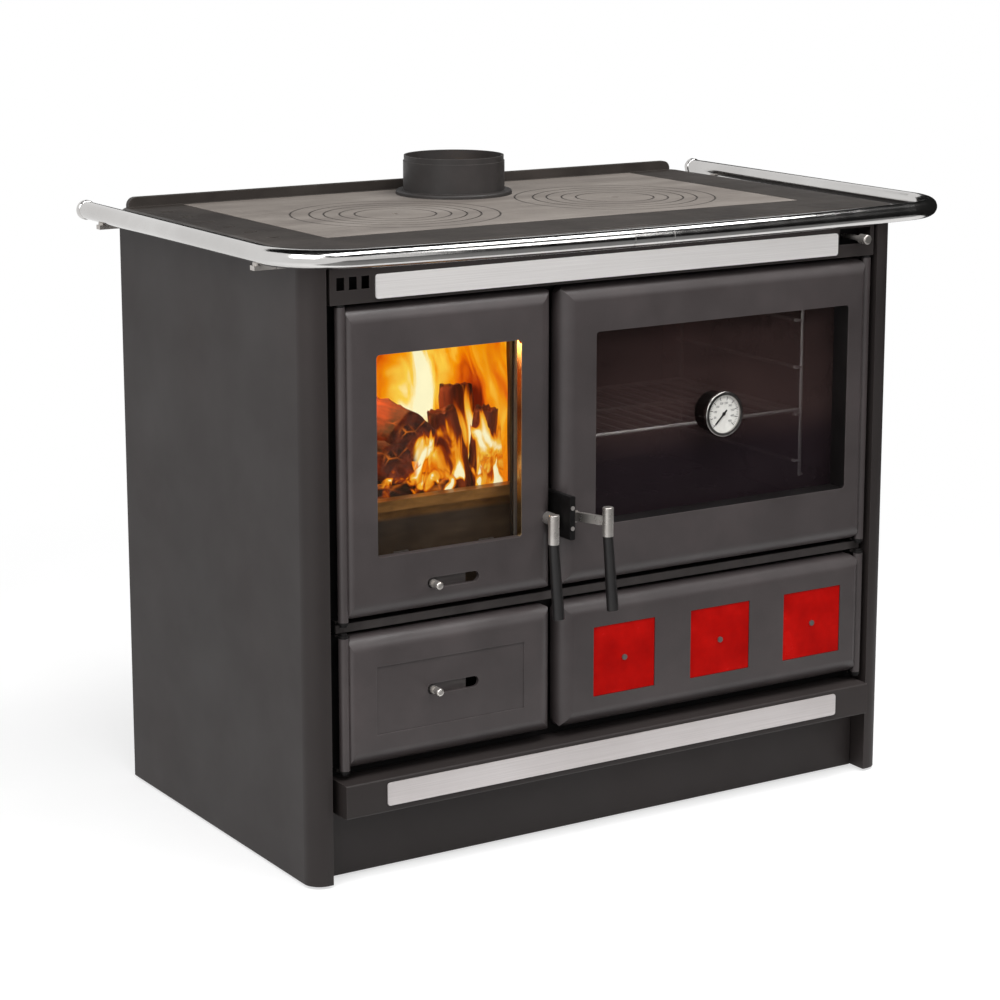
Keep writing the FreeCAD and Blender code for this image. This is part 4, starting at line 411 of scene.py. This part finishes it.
def tile_glaze():
    """Red glaze, darkened along the tiles' edges: painted shade."""
    m, t = new_material("tile_glaze")
    pool = t.noise(t.coords(), 24, 4, 0.55)
    crackle = t.cells(t.coords(), 70)
    red = t.mottle(pool, (158, 3, 1), (176, 5, 1), (194, 9, 3))
    # darker tile edges: painted shade
    edge_shade = t.math("MULTIPLY", t.edges(0.0022), 0.75)
    t.surface(Base_Color=t.mix(edge_shade, red, (74, 14, 12)), Roughness=t.vary(pool, 0.16, 0.28),
              Specular_IOR_Level=0.1,
              Normal=t.bump(t.math("ADD", pool, t.math("MULTIPLY", crackle, 0.15)), 0.12, 0.0006))
    return m


def latch_black():
    """Black keeper; the two screws stand proud of it and are bare metal."""
    m, t = new_material("latch_black")
    spot = t.noise(t.coords(), 60, 4, 0.6)
    screw = t.span(t.split(t.coords())[1], *SCREWS_Y, 1.0, 0.0)
    t.surface(Base_Color=t.mix(screw, t.mottle(spot, (8, 7, 7), (15, 14, 14)), (205, 200, 196)),
              Metallic=screw, Roughness=t.vary(spot, 0.35, 0.5), Specular_IOR_Level=0.25,
              Normal=t.bump(t.noise(t.coords(), 900, 3), 0.2, 0.0002))
    return m


def gauge_metal():
    """Bright bezel and a darker drum behind it."""
    m, t = new_material("gauge_case")
    drum = t.span(t.split(t.coords())[1], *DRUM_Y)
    tarnish = t.noise(t.coords(), 90, 4, 0.6)
    bezel = t.mottle(tarnish, (148, 145, 142), (178, 175, 172))
    t.surface(Base_Color=t.mix(drum, bezel, (84, 82, 80)), Metallic=1.0,
              Roughness=t.vary(tarnish, 0.1, 0.25), Normal=t.bump(tarnish, 0.04, 0.0002))
    return m


def retainer_steel():
    """Log retainer: dull below, heat-tinted along its folded top edge."""
    m, t = new_material("retainer_steel")
    tint = t.noise(t.coords((1, 1, 3)), 22, 4, 0.6)
    gold = t.mottle(tint, (120, 78, 34), (176, 124, 62))
    dull = t.mottle(tint, (44, 36, 29), (70, 58, 46))
    height = t.split(t.coords())[2]
    t.surface(Base_Color=t.mix(t.span(height, *FOLD_Z, smooth=True), dull, gold),
              Metallic=t.span(height, *FOLD_Z, 0.1, 0.6), Roughness=t.vary(tint, 0.3, 0.45),
              Normal=t.bump(t.noise(t.coords(), 400, 3), 0.2, 0.0003))
    return m


def use(material, node):
    data = frame["nodes"][node].data
    data.materials.clear()
    data.materials.append(material)


by_slot = {slot: finish_of(slot, **look) for slot, look in FINISHES.items()}
by_slot.update(
    door_iron=door_iron("door_iron"), hob_iron=hob_iron(), trim_steel=trim_steel(),
    fire_glass=fire_glass(), oven_glass=oven_glass(), rope_seal=rope_seal(),
    dial_face=dial_face(), tile_glaze=tile_glaze())
for entry in frame["record"]["subparts"]:
    use(by_slot[entry["material_slot"]], entry["node"])
use(fire_door_iron_painted_firelight(), "fire_door")
use(oven_door_iron_painted_shade(), "oven_door")
use(latch_black(), "latch_keeper")
use(gauge_metal(), "gauge_case")
use(retainer_steel(), "log_retainer")


# ---- helpers for pieces ----
def link(name, data):
    obj = bpy.data.objects.new(name, data)
    bpy.context.scene.collection.objects.link(obj)
    return obj


def piece(name, verts, faces, material, body, uvs=None, smooth=True, matrix=None):
    data = bpy.data.meshes.new(name)
    data.from_pydata(verts, [], faces)
    if uvs:
        layer = data.uv_layers.new(name="UVMap")
        for loop in data.loops:
            layer.data[loop.index].uv = uvs[loop.vertex_index]
    for polygon in data.polygons:
        polygon.use_smooth = smooth
    data.materials.append(material)
    obj = link(name, data)
    if matrix is not None:
        obj.matrix_world = matrix
    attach(obj, body)


def grid_faces(rows, columns, closed=False):
    faces = []
    for i in range(rows - 1):
        for j in range(columns if closed else columns - 1):
            k = (j + 1) % columns
            faces.append((i * columns + j, i * columns + k, (i + 1) * columns + k,
                          (i + 1) * columns + j))
    return faces


# ---- dial marks ----
DIAL_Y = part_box("gauge_dial")[0][1]
SCALE_START, SCALE_TURN = 225, 270                 # degrees, clockwise from the lower left
STROKES, STROKES_PER_NUMBER = 45, 5                # after the one at 0
DEGREES_PER_NUMBER = 50
STROKE_END = 0.0252                                # radius of the strokes' outer ends
LONG_STROKE, SHORT_STROKE = (0.0195, 0.0005), (0.0222, 0.00025)    # inner radius, half width
STROKE_BACK, STROKE_FRONT = 0.00002, 0.00014       # heights above the dial
NUMBER_RADIUS, NUMBER_SIZE = 0.0155, 0.0042
NUMBER_LIFT, NUMBER_HALF_THICKNESS = 0.00006, 0.00004
BLOCK_FACES = ((0, 1, 2, 3), (7, 6, 5, 4), (0, 4, 5, 1), (1, 5, 6, 2), (2, 6, 7, 3), (3, 7, 4, 0))


def dial_ink():
    m, t = new_material("dial_ink")
    blot = t.noise(t.coords(), 900, 3, 0.6)
    t.surface(Base_Color=t.mottle(blot, (18, 18, 20), (34, 33, 35)),
              Roughness=t.vary(blot, 0.4, 0.55))
    return m


def on_scale(share):
    """Direction from the dial's centre to this share of its scale."""
    angle = math.radians(SCALE_START - SCALE_TURN * share)
    return Vector((math.cos(angle), 0, math.sin(angle)))


def dial_strokes(ink):
    verts, faces = [], []
    for i in range(STROKES + 1):
        start, half = LONG_STROKE if i % STROKES_PER_NUMBER == 0 else SHORT_STROKE
        out = on_scale(i / STROKES)
        side = Vector((-out.z, 0, out.x)) * half
        first = len(verts)
        for height in (STROKE_BACK, STROKE_FRONT):
            for r, s in ((start, -1), (STROKE_END, -1), (STROKE_END, 1), (start, 1)):
                verts.append(GAUGE_CENTRE + out * r + side * s + Vector((0, DIAL_Y - height, 0)))
        for face in BLOCK_FACES:
            faces.append(tuple(first + k for k in face))
    piece("dial_ticks", verts, faces, ink, "oven_door", smooth=False)


def dial_numbers(ink):
    count = STROKES // STROKES_PER_NUMBER
    for i in range(count + 1):
        text = bpy.data.curves.new("dial_number_%d" % i, "FONT")
        text.body = str(i * DEGREES_PER_NUMBER)
        text.size = NUMBER_SIZE
        text.extrude = NUMBER_HALF_THICKNESS
        text.align_x = "CENTER"
        text.align_y = "CENTER"
        text.materials.append(ink)
        obj = link("dial_number_%d" % i, text)
        at = GAUGE_CENTRE + on_scale(i / count) * NUMBER_RADIUS
        obj.matrix_world = (Matrix.Translation((at.x, DIAL_Y - NUMBER_LIFT, at.z))
                            @ Matrix.Rotation(math.radians(90), 4, "X"))
        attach(obj, "oven_door")


ink = dial_ink()
dial_strokes(ink)
dial_numbers(ink)


# ---- the fire ----
GLASS_Y = -0.219                                   # depths in the firebox count from here
SIGHT_X, SIGHT_Z = 0.6, -0.248                     # the camera's line of sight, per metre of depth
EMBERS_X, EMBERS_Y, EMBERS_Z = (-0.400, -0.140), (-0.160, 0.235), 0.3745


def seen_at(s, v, depth):
    """The point this far behind the glass that the camera sees at s, v of the fire window."""
    (x0, x1), (z0, z1) = FIRE_WINDOW
    return Vector((x0 + (x1 - x0) * s + SIGHT_X * depth, GLASS_Y + depth,
                   z1 - (z1 - z0) * v + SIGHT_Z * depth))


def window_point(t):
    """The same the other way round, as nodes: where in the window the camera sees a point."""
    (x0, x1), (z0, z1) = FIRE_WINDOW
    x, y, z = t.split(t.coords())
    depth = t.math("SUBTRACT", y, GLASS_Y)
    across = t.math("SUBTRACT", t.math("SUBTRACT", x, t.math("MULTIPLY", depth, SIGHT_X)), x0)
    down = t.math("SUBTRACT", z1, t.math("SUBTRACT", z, t.math("MULTIPLY", depth, SIGHT_Z)))
    return t.point(t.math("DIVIDE", across, x1 - x0), t.math("DIVIDE", down, z1 - z0))


def curtain_material():
    """Curtain of flame: pale at the upper left of the window and at its right end, else orange."""
    m, t = new_material("flame_sheet")
    at = t.warped(t.coords((15, 15, 7)), 0.6, (2.2, 2.2, 1.6))
    licks = t.noise(at, 0.8, 4, 0.5, 1.2)
    threads = t.noise(at, 2.0, 3, 0.5, 2.8)
    value = t.math("ADD", licks, t.math("MULTIPLY", threads, 0.12))
    spot = window_point(t)
    # place in the window, full and fading radius, how much hotter
    for centre, near, far, heat in (((0.27, 0.15, 0), 0.08, 0.42, 0.40),
                                    ((1.0, 0.05, 0), 0.03, 0.2, 0.3),
                                    ((0.62, 0.38, 0), 0.08, 0.3, -0.12),
                                    ((0.0, 0.3, 0), 0.1, 0.4, 0.08)):
        patch = t.span(t.distance(spot, centre), near, far, heat, 0.0, True)
        value = t.math("ADD", value, patch)
    colour = t.ramp(value, (0.38, (110, 22, 1)), (0.46, (196, 62, 2)), (0.55, (246, 112, 2)),
                    (0.68, (255, 158, 6)), (0.84, (255, 210, 74)), (0.98, (255, 247, 200)))
    t.output(t.emission(colour, t.span(value, 0.4, 0.9, 0.9, 1.15)))
    return m


def veil_material(name, stretch, edge, white):
    """Separate tongues of flame with clear air between them; fewer of them towards the top."""
    m, t = new_material(name)
    licks = t.noise(t.warped(t.coords(stretch), 0.7, (2.4, 2.4, 1.4)), 1.0, 3, 0.5, 0.8)
    u, v, _ = t.split(t.node("ShaderNodeTexCoord", {}).outputs["UV"])
    ends = t.math("MULTIPLY", t.span(u, 0.0, 0.06, smooth=True), t.span(u, 1.0, 0.94, smooth=True))
    rise = t.math("MULTIPLY", t.span(v, 0.0, 0.08, smooth=True), t.span(v, 1.0, 0.3, smooth=True))
    body = t.math("ADD", licks, t.span(rise, 0.0, 1.0, -0.2, 0.03))
    colour = t.ramp(body, (edge, (206, 70, 2)), (edge + 0.03, (250, 134, 4)),
                    (edge + 0.09, (255, 196, 60)), (white, (255, 246, 200)))
    flame = t.emission(colour, t.span(body, edge, edge + 0.15, 0.85, 1.1))
    cover = t.math("MULTIPLY", t.span(body, edge - 0.03, edge + 0.05, smooth=True), ends)
    air = t.node("ShaderNodeBsdfTransparent", {}).outputs[0]
    t.output(t.shader_mix(cover, air, flame))
    return m


def log_material(name, charred):
    """Split wood, charred where a noise passes the given value: long grain, glowing cracks."""
    m, t = new_material(name)
    grain = t.noise(t.coords((3, 26, 26)), 3.0, 5, 0.65)
    char = t.noise(t.coords((7, 18, 18), (3, 1, 2)), 1.0, 4, 0.6)
    # brown wood tinted red-orange: partly the wood's colour, partly painted firelight
    wood = t.ramp(grain, (0.3, (74, 26, 14)), (0.52, (136, 54, 30)), (0.72, (172, 84, 48)))
    burnt = t.mottle(grain, (10, 7, 6), (36, 20, 14))
    cracks = t.cells(t.coords((14, 40, 40)), 1.0, "DISTANCE_TO_EDGE")
    ember = t.math("MULTIPLY", t.span(cracks, 0.07, 0.0), t.span(char, 0.46, 0.66))
    t.surface(Base_Color=t.mix(t.span(char, charred, charred + 0.16), wood, burnt),
              Roughness=t.vary(grain, 0.75, 0.95),
              Emission_Color=t.ramp(ember, (0.0, (120, 20, 2)), (1.0, (255, 140, 30))),
              Emission_Strength=t.math("MULTIPLY", ember, 1.2),
              Normal=t.bump(grain, 0.7, 0.002, Normal=t.bump(cracks, 0.5, 0.003)))
    return m


def ember_material():
    m, t = new_material("ember_bed")
    lumps = t.cells(t.coords(), 62)
    heat = t.math("MULTIPLY", t.span(lumps, 0.5, 0.0), t.noise(t.coords(), 22, 4, 0.6))
    t.surface(Base_Color=t.ramp(lumps, (0.1, (52, 30, 22)), (0.7, (14, 11, 10))),
              Roughness=t.span(lumps, 0, 1, 0.8, 0.98),
              Emission_Color=t.ramp(heat, (0.1, (150, 26, 2)), (0.5, (255, 130, 24))),
              Emission_Strength=t.span(heat, 0.16, 0.55, 0.0, 1.6),
              Normal=t.bump(lumps, 1.0, 0.006))
    return m


def log_radius(angle, radius, flats):
    """Distance to the skin of a round log with flat split faces, given as (angle, distance)."""
    for facing, distance in flats:
        lean = math.cos(angle - facing)
        if lean > 0.05:
            radius = min(radius, distance / lean)
    return radius


def torn_end(verts, ring, inward, flip):
    """Close an end of a log with two smaller rough rings and a middle point."""
    faces, outer, count = [], ring, len(ring)
    for k, share in enumerate((0.66, 0.33)):
        inner = range(len(verts), len(verts) + count)
        for index in ring:
            p = verts[index]
            rough = noise.noise(p * 70) * 0.002
            verts.append(Vector((p.x + inward * (k + 1) * 0.5 + rough, p.y * share, p.z * share)))
        for j in range(count):
            following = (j + 1) % count
            faces.append((outer[j], outer[following], inner[following], inner[j]))
        outer = inner
    centre = len(verts)
    verts.append(Vector((verts[ring[0]].x + inward, 0, 0)))
    for j in range(count):
        faces.append((outer[j], outer[(j + 1) % count], centre))
    return [face[::-1] for face in faces] if flip else faces


def split_log(name, start, end, radius, split_faces, seed, material):
    """A split log with its own axis along local X: rough outline, flat split faces, torn ends."""
    rng = random.Random(seed)
    start, end = Vector(start), Vector(end)
    axis = end - start
    rows, columns = 22, 28
    flats = [(angle, share * radius) for angle, share in split_faces]
    verts = []
    for i in range(rows):
        s = i / (rows - 1)
        taper = 1 - 0.12 * abs(2 * s - 1) ** 3
        for j in range(columns):
            angle = 2 * math.pi * j / columns
            r = log_radius(angle, radius * taper, flats)
            p = Vector((s * axis.length, math.cos(angle) * r, math.sin(angle) * r))
            rough = noise.noise(p * 28 + Vector((seed, 0, 0))) * 0.10 + noise.noise(p * 90) * 0.045
            p.y *= 1 + rough
            p.z *= 1 + rough
            if i in (0, rows - 1):
                p.x += rng.uniform(-0.003, 0.003)
            verts.append(p)
    faces = grid_faces(rows, columns, closed=True)
    first, last = range(columns), range((rows - 1) * columns, rows * columns)
    faces += torn_end(verts, first, 0.004, True)
    faces += torn_end(verts, last, -0.004, False)
    turn = axis.to_track_quat("X", "Z").to_matrix().to_4x4()
    piece(name, verts, faces, material, "stove",
          matrix=Matrix.Translation(start) @ turn)


def flame_curtain(name, path, z0, z1, seed):
    """A standing curtain that follows a path in plan and billows."""
    rows, columns = 26, 48
    verts = []
    for i in range(rows):
        v = i / (rows - 1)
        for j in range(columns):
            s = j / (columns - 1) * (len(path) - 1)
            k = min(int(s), len(path) - 2)
            p = Vector(path[k]).lerp(Vector(path[k + 1]), s - k)
            sway = noise.noise(Vector((p.x * 9, p.y * 9, v * 3 + seed))) * 0.014 * v
            verts.append((p.x + sway, p.y + sway * 0.6, z0 + (z1 - z0) * v))
    piece(name, verts, grid_faces(rows, columns), curtain_material(), "stove")


def flame_veil(name, s, v, depth, lean, seed, material):
    """A billowing upright sheet that covers the given part of the fire window."""
    rows, columns = 28, 36
    verts, uvs = [], []
    for i in range(rows):
        b = i / (rows - 1)
        for j in range(columns):
            a = j / (columns - 1)
            p = seen_at(s[0] + (s[1] - s[0]) * a, v[0] + (v[1] - v[0]) * b, depth + lean * b)
            p.y += noise.noise(Vector((p.x * 16, b * 2.4, seed))) * 0.012
            verts.append(p)
            uvs.append((a, b))
    piece(name, verts, grid_faces(rows, columns), material, "stove", uvs=uvs)


def ember_bed():
    """A rough bed that runs out to nothing at its edges."""
    (x0, x1), (y0, y1) = EMBERS_X, EMBERS_Y
    rows, columns = 60, 44
    verts = []
    for i in range(rows):
        for j in range(columns):
            x = x0 + (x1 - x0) * j / (columns - 1)
            y = y0 + (y1 - y0) * i / (rows - 1)
            edge = min(1, 6 * min(j, columns - 1 - j) / columns, 6 * min(i, rows - 1 - i) / rows)
            coarse = noise.noise(Vector((x * 14, y * 14, 3)))
            fine = noise.noise(Vector((x * 70, y * 70, 5)))
            height = 0.022 + 0.03 * coarse + 0.012 * fine
            verts.append((x, y, EMBERS_Z + max(0.001, height) * edge))
    piece("ember_bed", verts, grid_faces(rows, columns), ember_material(), "stove")


ember_bed()
wood, char = log_material("burning_wood", 0.46), log_material("charred_wood", 0.24)
# name, both ends, radius, split faces as (angle, share of the radius), seed, material
LOGS = [
    ("log_base_front", (-0.385, -0.095, 0.424), (-0.160, -0.110, 0.426), 0.044,
     [(1.5, 0.7), (3.9, 0.75)], 7, char),
    ("log_base_rear", (-0.380, 0.060, 0.424), (-0.165, 0.040, 0.426), 0.044,
     [(1.4, 0.72), (4.2, 0.7)], 9, char),
    ("log_low_front", (-0.392, -0.118, 0.494), (-0.200, -0.112, 0.486), 0.032,
     [(1.6, 0.72), (4.4, 0.8)], 13, char),
    ("log_low_rear", (-0.350, 0.050, 0.500), (-0.190, 0.030, 0.500), 0.036,
     [(1.2, 0.8), (3.3, 0.7)], 15, char),
    ("log_left", (-0.272, -0.145, 0.572), (-0.236, 0.090, 0.560), 0.040,
     [(0.78, 0.7), (2.36, 0.72), (4.7, 0.78)], 3, wood),
    ("log_under", (-0.300, -0.150, 0.540), (-0.300, 0.090, 0.530), 0.030,
     [(0.4, 0.7), (2.9, 0.72)], 5, wood),
    ("log_upright", seen_at(0.60, 0.79, 0.100), seen_at(0.47, 0.31, 0.105), 0.022,
     [(0.4, 0.7), (2.6, 0.7)], 11, wood),
    ("log_leaning", seen_at(0.63, 0.78, 0.135), seen_at(0.57, 0.18, 0.150), 0.026,
     [(1.4, 0.62), (3.6, 0.7)], 19, wood),
    ("log_right", seen_at(0.72, 0.79, 0.100), seen_at(0.79, 0.33, 0.080), 0.018,
     [(3.4, 0.7), (1.2, 0.75)], 17, wood),
]
for log in LOGS:
    split_log(*log)

flame_curtain("flame_curtain", [(-0.402, -0.166), (-0.400, 0.020), (-0.370, 0.120),
                                (-0.270, 0.150), (-0.180, 0.120), (-0.142, 0.020),
                                (-0.139, -0.168)], z0=0.440, z1=0.742, seed=2.0)
flame_veil("flames_rear", (0.02, 0.98), (0.70, 0.02), depth=0.100, lean=0.020, seed=3.0,
           material=veil_material("flame_rear", (17, 17, 6), edge=0.54, white=0.72))
flame_veil("flames_middle", (0.26, 0.95), (0.70, 0.12), depth=0.062, lean=0.010, seed=8.0,
           material=veil_material("flame_middle", (24, 24, 8), edge=0.525, white=0.68))
flame_veil("flames_front", (0.02, 0.94), (0.76, 0.46), depth=0.054, lean=0.006, seed=15.0,
           material=veil_material("flame_front", (26, 26, 14), edge=0.54, white=0.64))


# ---- studio ----
def soft_box(name, at, target, watts, width, height):
    data = bpy.data.lights.new(name, "AREA")
    data.energy = watts
    data.shape = "RECTANGLE"
    data.size = width
    data.size_y = height
    lamp = link(name, data)
    lamp.location = at
    lamp.rotation_euler = (Vector(target) - Vector(at)).to_track_quat("-Z", "Y").to_euler()


def bulb(name, at, watts, radius, colour=(1, 1, 1)):
    data = bpy.data.lights.new(name, "POINT")
    data.energy = watts
    data.color = colour
    data.shadow_soft_size = radius
    link(name, data).location = at


def rectangle(name, low, high, material):
    """A level or upright rectangle between two opposite corners, part of the stage."""
    (x0, y0, z0), (x1, y1, z1) = low, high
    if z0 == z1:
        corners = [(x0, y0, z0), (x1, y0, z0), (x1, y1, z0), (x0, y1, z0)]
    else:
        corners = [(x0, y0, z0), (x1, y1, z0), (x1, y1, z1), (x0, y0, z1)]
    data = bpy.data.meshes.new(name)
    data.from_pydata(corners, [], [(0, 1, 2, 3)])
    data.materials.append(material)
    obj = link(name, data)
    return obj


def flag(name, low, high, material):
    """Studio card that only reflections see, so that metal gets its dark bands."""
    card = rectangle(name, low, high, material)
    for kind in ("camera", "diffuse", "transmission", "volume_scatter", "shadow"):
        setattr(card, "visible_" + kind, False)


def card_material(name, dark, light):
    m, t = new_material(name)
    felt = t.noise(t.coords(), 4, 3, 0.5)
    t.surface(Base_Color=t.mottle(felt, (dark, dark, dark), (light, light, light)),
              Roughness=t.vary(felt, 0.9, 1.0), Specular_IOR_Level=0.0)
    return m


def floor_material():
    """Pale floor that takes the stove's soft shadow and runs out to plain white."""
    m, t = new_material("studio_floor")
    seen = t.seen()
    grey = t.mottle(t.noise(t.coords(), 3, 3, 0.5), (178, 178, 178), (184, 184, 184))
    pale = t.node("ShaderNodeBsdfDiffuse", {"Color": grey}).outputs[0]
    lift = t.emission((1, 1, 1, 1), t.math("MULTIPLY", seen, 0.62))
    near = t.node("ShaderNodeAddShader", {0: pale, 1: lift}).outputs[0]
    away = t.span(t.distance(t.coords()), 0.9, 2.0, smooth=True)
    t.output(t.shader_mix(t.math("MULTIPLY", seen, away), near, t.emission((1, 1, 1, 1), 1.0)))
    return m


def studio_world():
    """White to look at and dimmer as light."""
    world = bpy.data.worlds.new("studio")
    bpy.context.scene.world = world
    t = Tree(world)
    plain, white = (t.node("ShaderNodeBackground", {"Color": (1, 1, 1, 1), "Strength": strength})
                    for strength in (0.29, 1.0))
    t.output(t.shader_mix(t.seen(), plain.outputs[0], white.outputs[0]), "ShaderNodeOutputWorld")


def photo_camera():
    """Camera fitted to the photo's corners."""
    yaw, pitch = 0.56138, 0.20577
    place = (-2.09476, -3.26051, 1.32240)
    data = bpy.data.cameras.new("camera")
    data.sensor_fit = "HORIZONTAL"
    data.sensor_width = 36.0
    data.lens = 99.223
    data.shift_y = -0.06
    data.clip_end = 100
    ahead = Vector((math.sin(yaw) * math.cos(pitch), math.cos(yaw) * math.cos(pitch),
                    -math.sin(pitch)))
    right = Vector((math.cos(yaw), -math.sin(yaw), 0))
    camera = link("camera", data)
    camera.matrix_world = (Matrix.Translation(place)
                           @ Matrix((right, right.cross(ahead), -ahead)).transposed().to_4x4())
    bpy.context.scene.camera = camera


soft_box("key", (-1.95, -1.0, 1.95), (-0.4, -0.1, 0.5), watts=36, width=1.4, height=1.4)
soft_box("fill", (1.75, -2.7, 2.25), (0.1, 0, 0.5), watts=25, width=1.7, height=1.2)
soft_box("overhead", (0.4, -0.85, 2.7), (0.1, -0.1, 0.8), watts=80, width=3.2, height=0.8)
bulb("fire_light", (-0.300, 0.000, 0.690), watts=1.6, radius=0.04, colour=(1.0, 0.55, 0.2))
bulb("oven_light", (0.120, -0.170, 0.700), watts=1.8, radius=0.03)

black, grey = card_material("black_flag", 30, 38), card_material("grey_flag", 118, 132)
flag("flag_right", (1.75, -5.5, 0.01), (1.75, 1.2, 2.6), black)
flag("flag_behind", (0.5, 2.8, 0.9), (4.0, 2.8, 2.2), black)
flag("flag_floor", (-1.0, -5.0, 0.004), (4.0, -0.6, 0.004), grey)
flag("flag_above", (-2.5, -4.5, 3.3), (4.0, 2.5, 3.3), black)
rectangle("studio_floor", (-30, -30, 0), (30, 30, 0), floor_material())
studio_world()
photo_camera()
bpy.context.scene.view_settings.view_transform = "Standard"
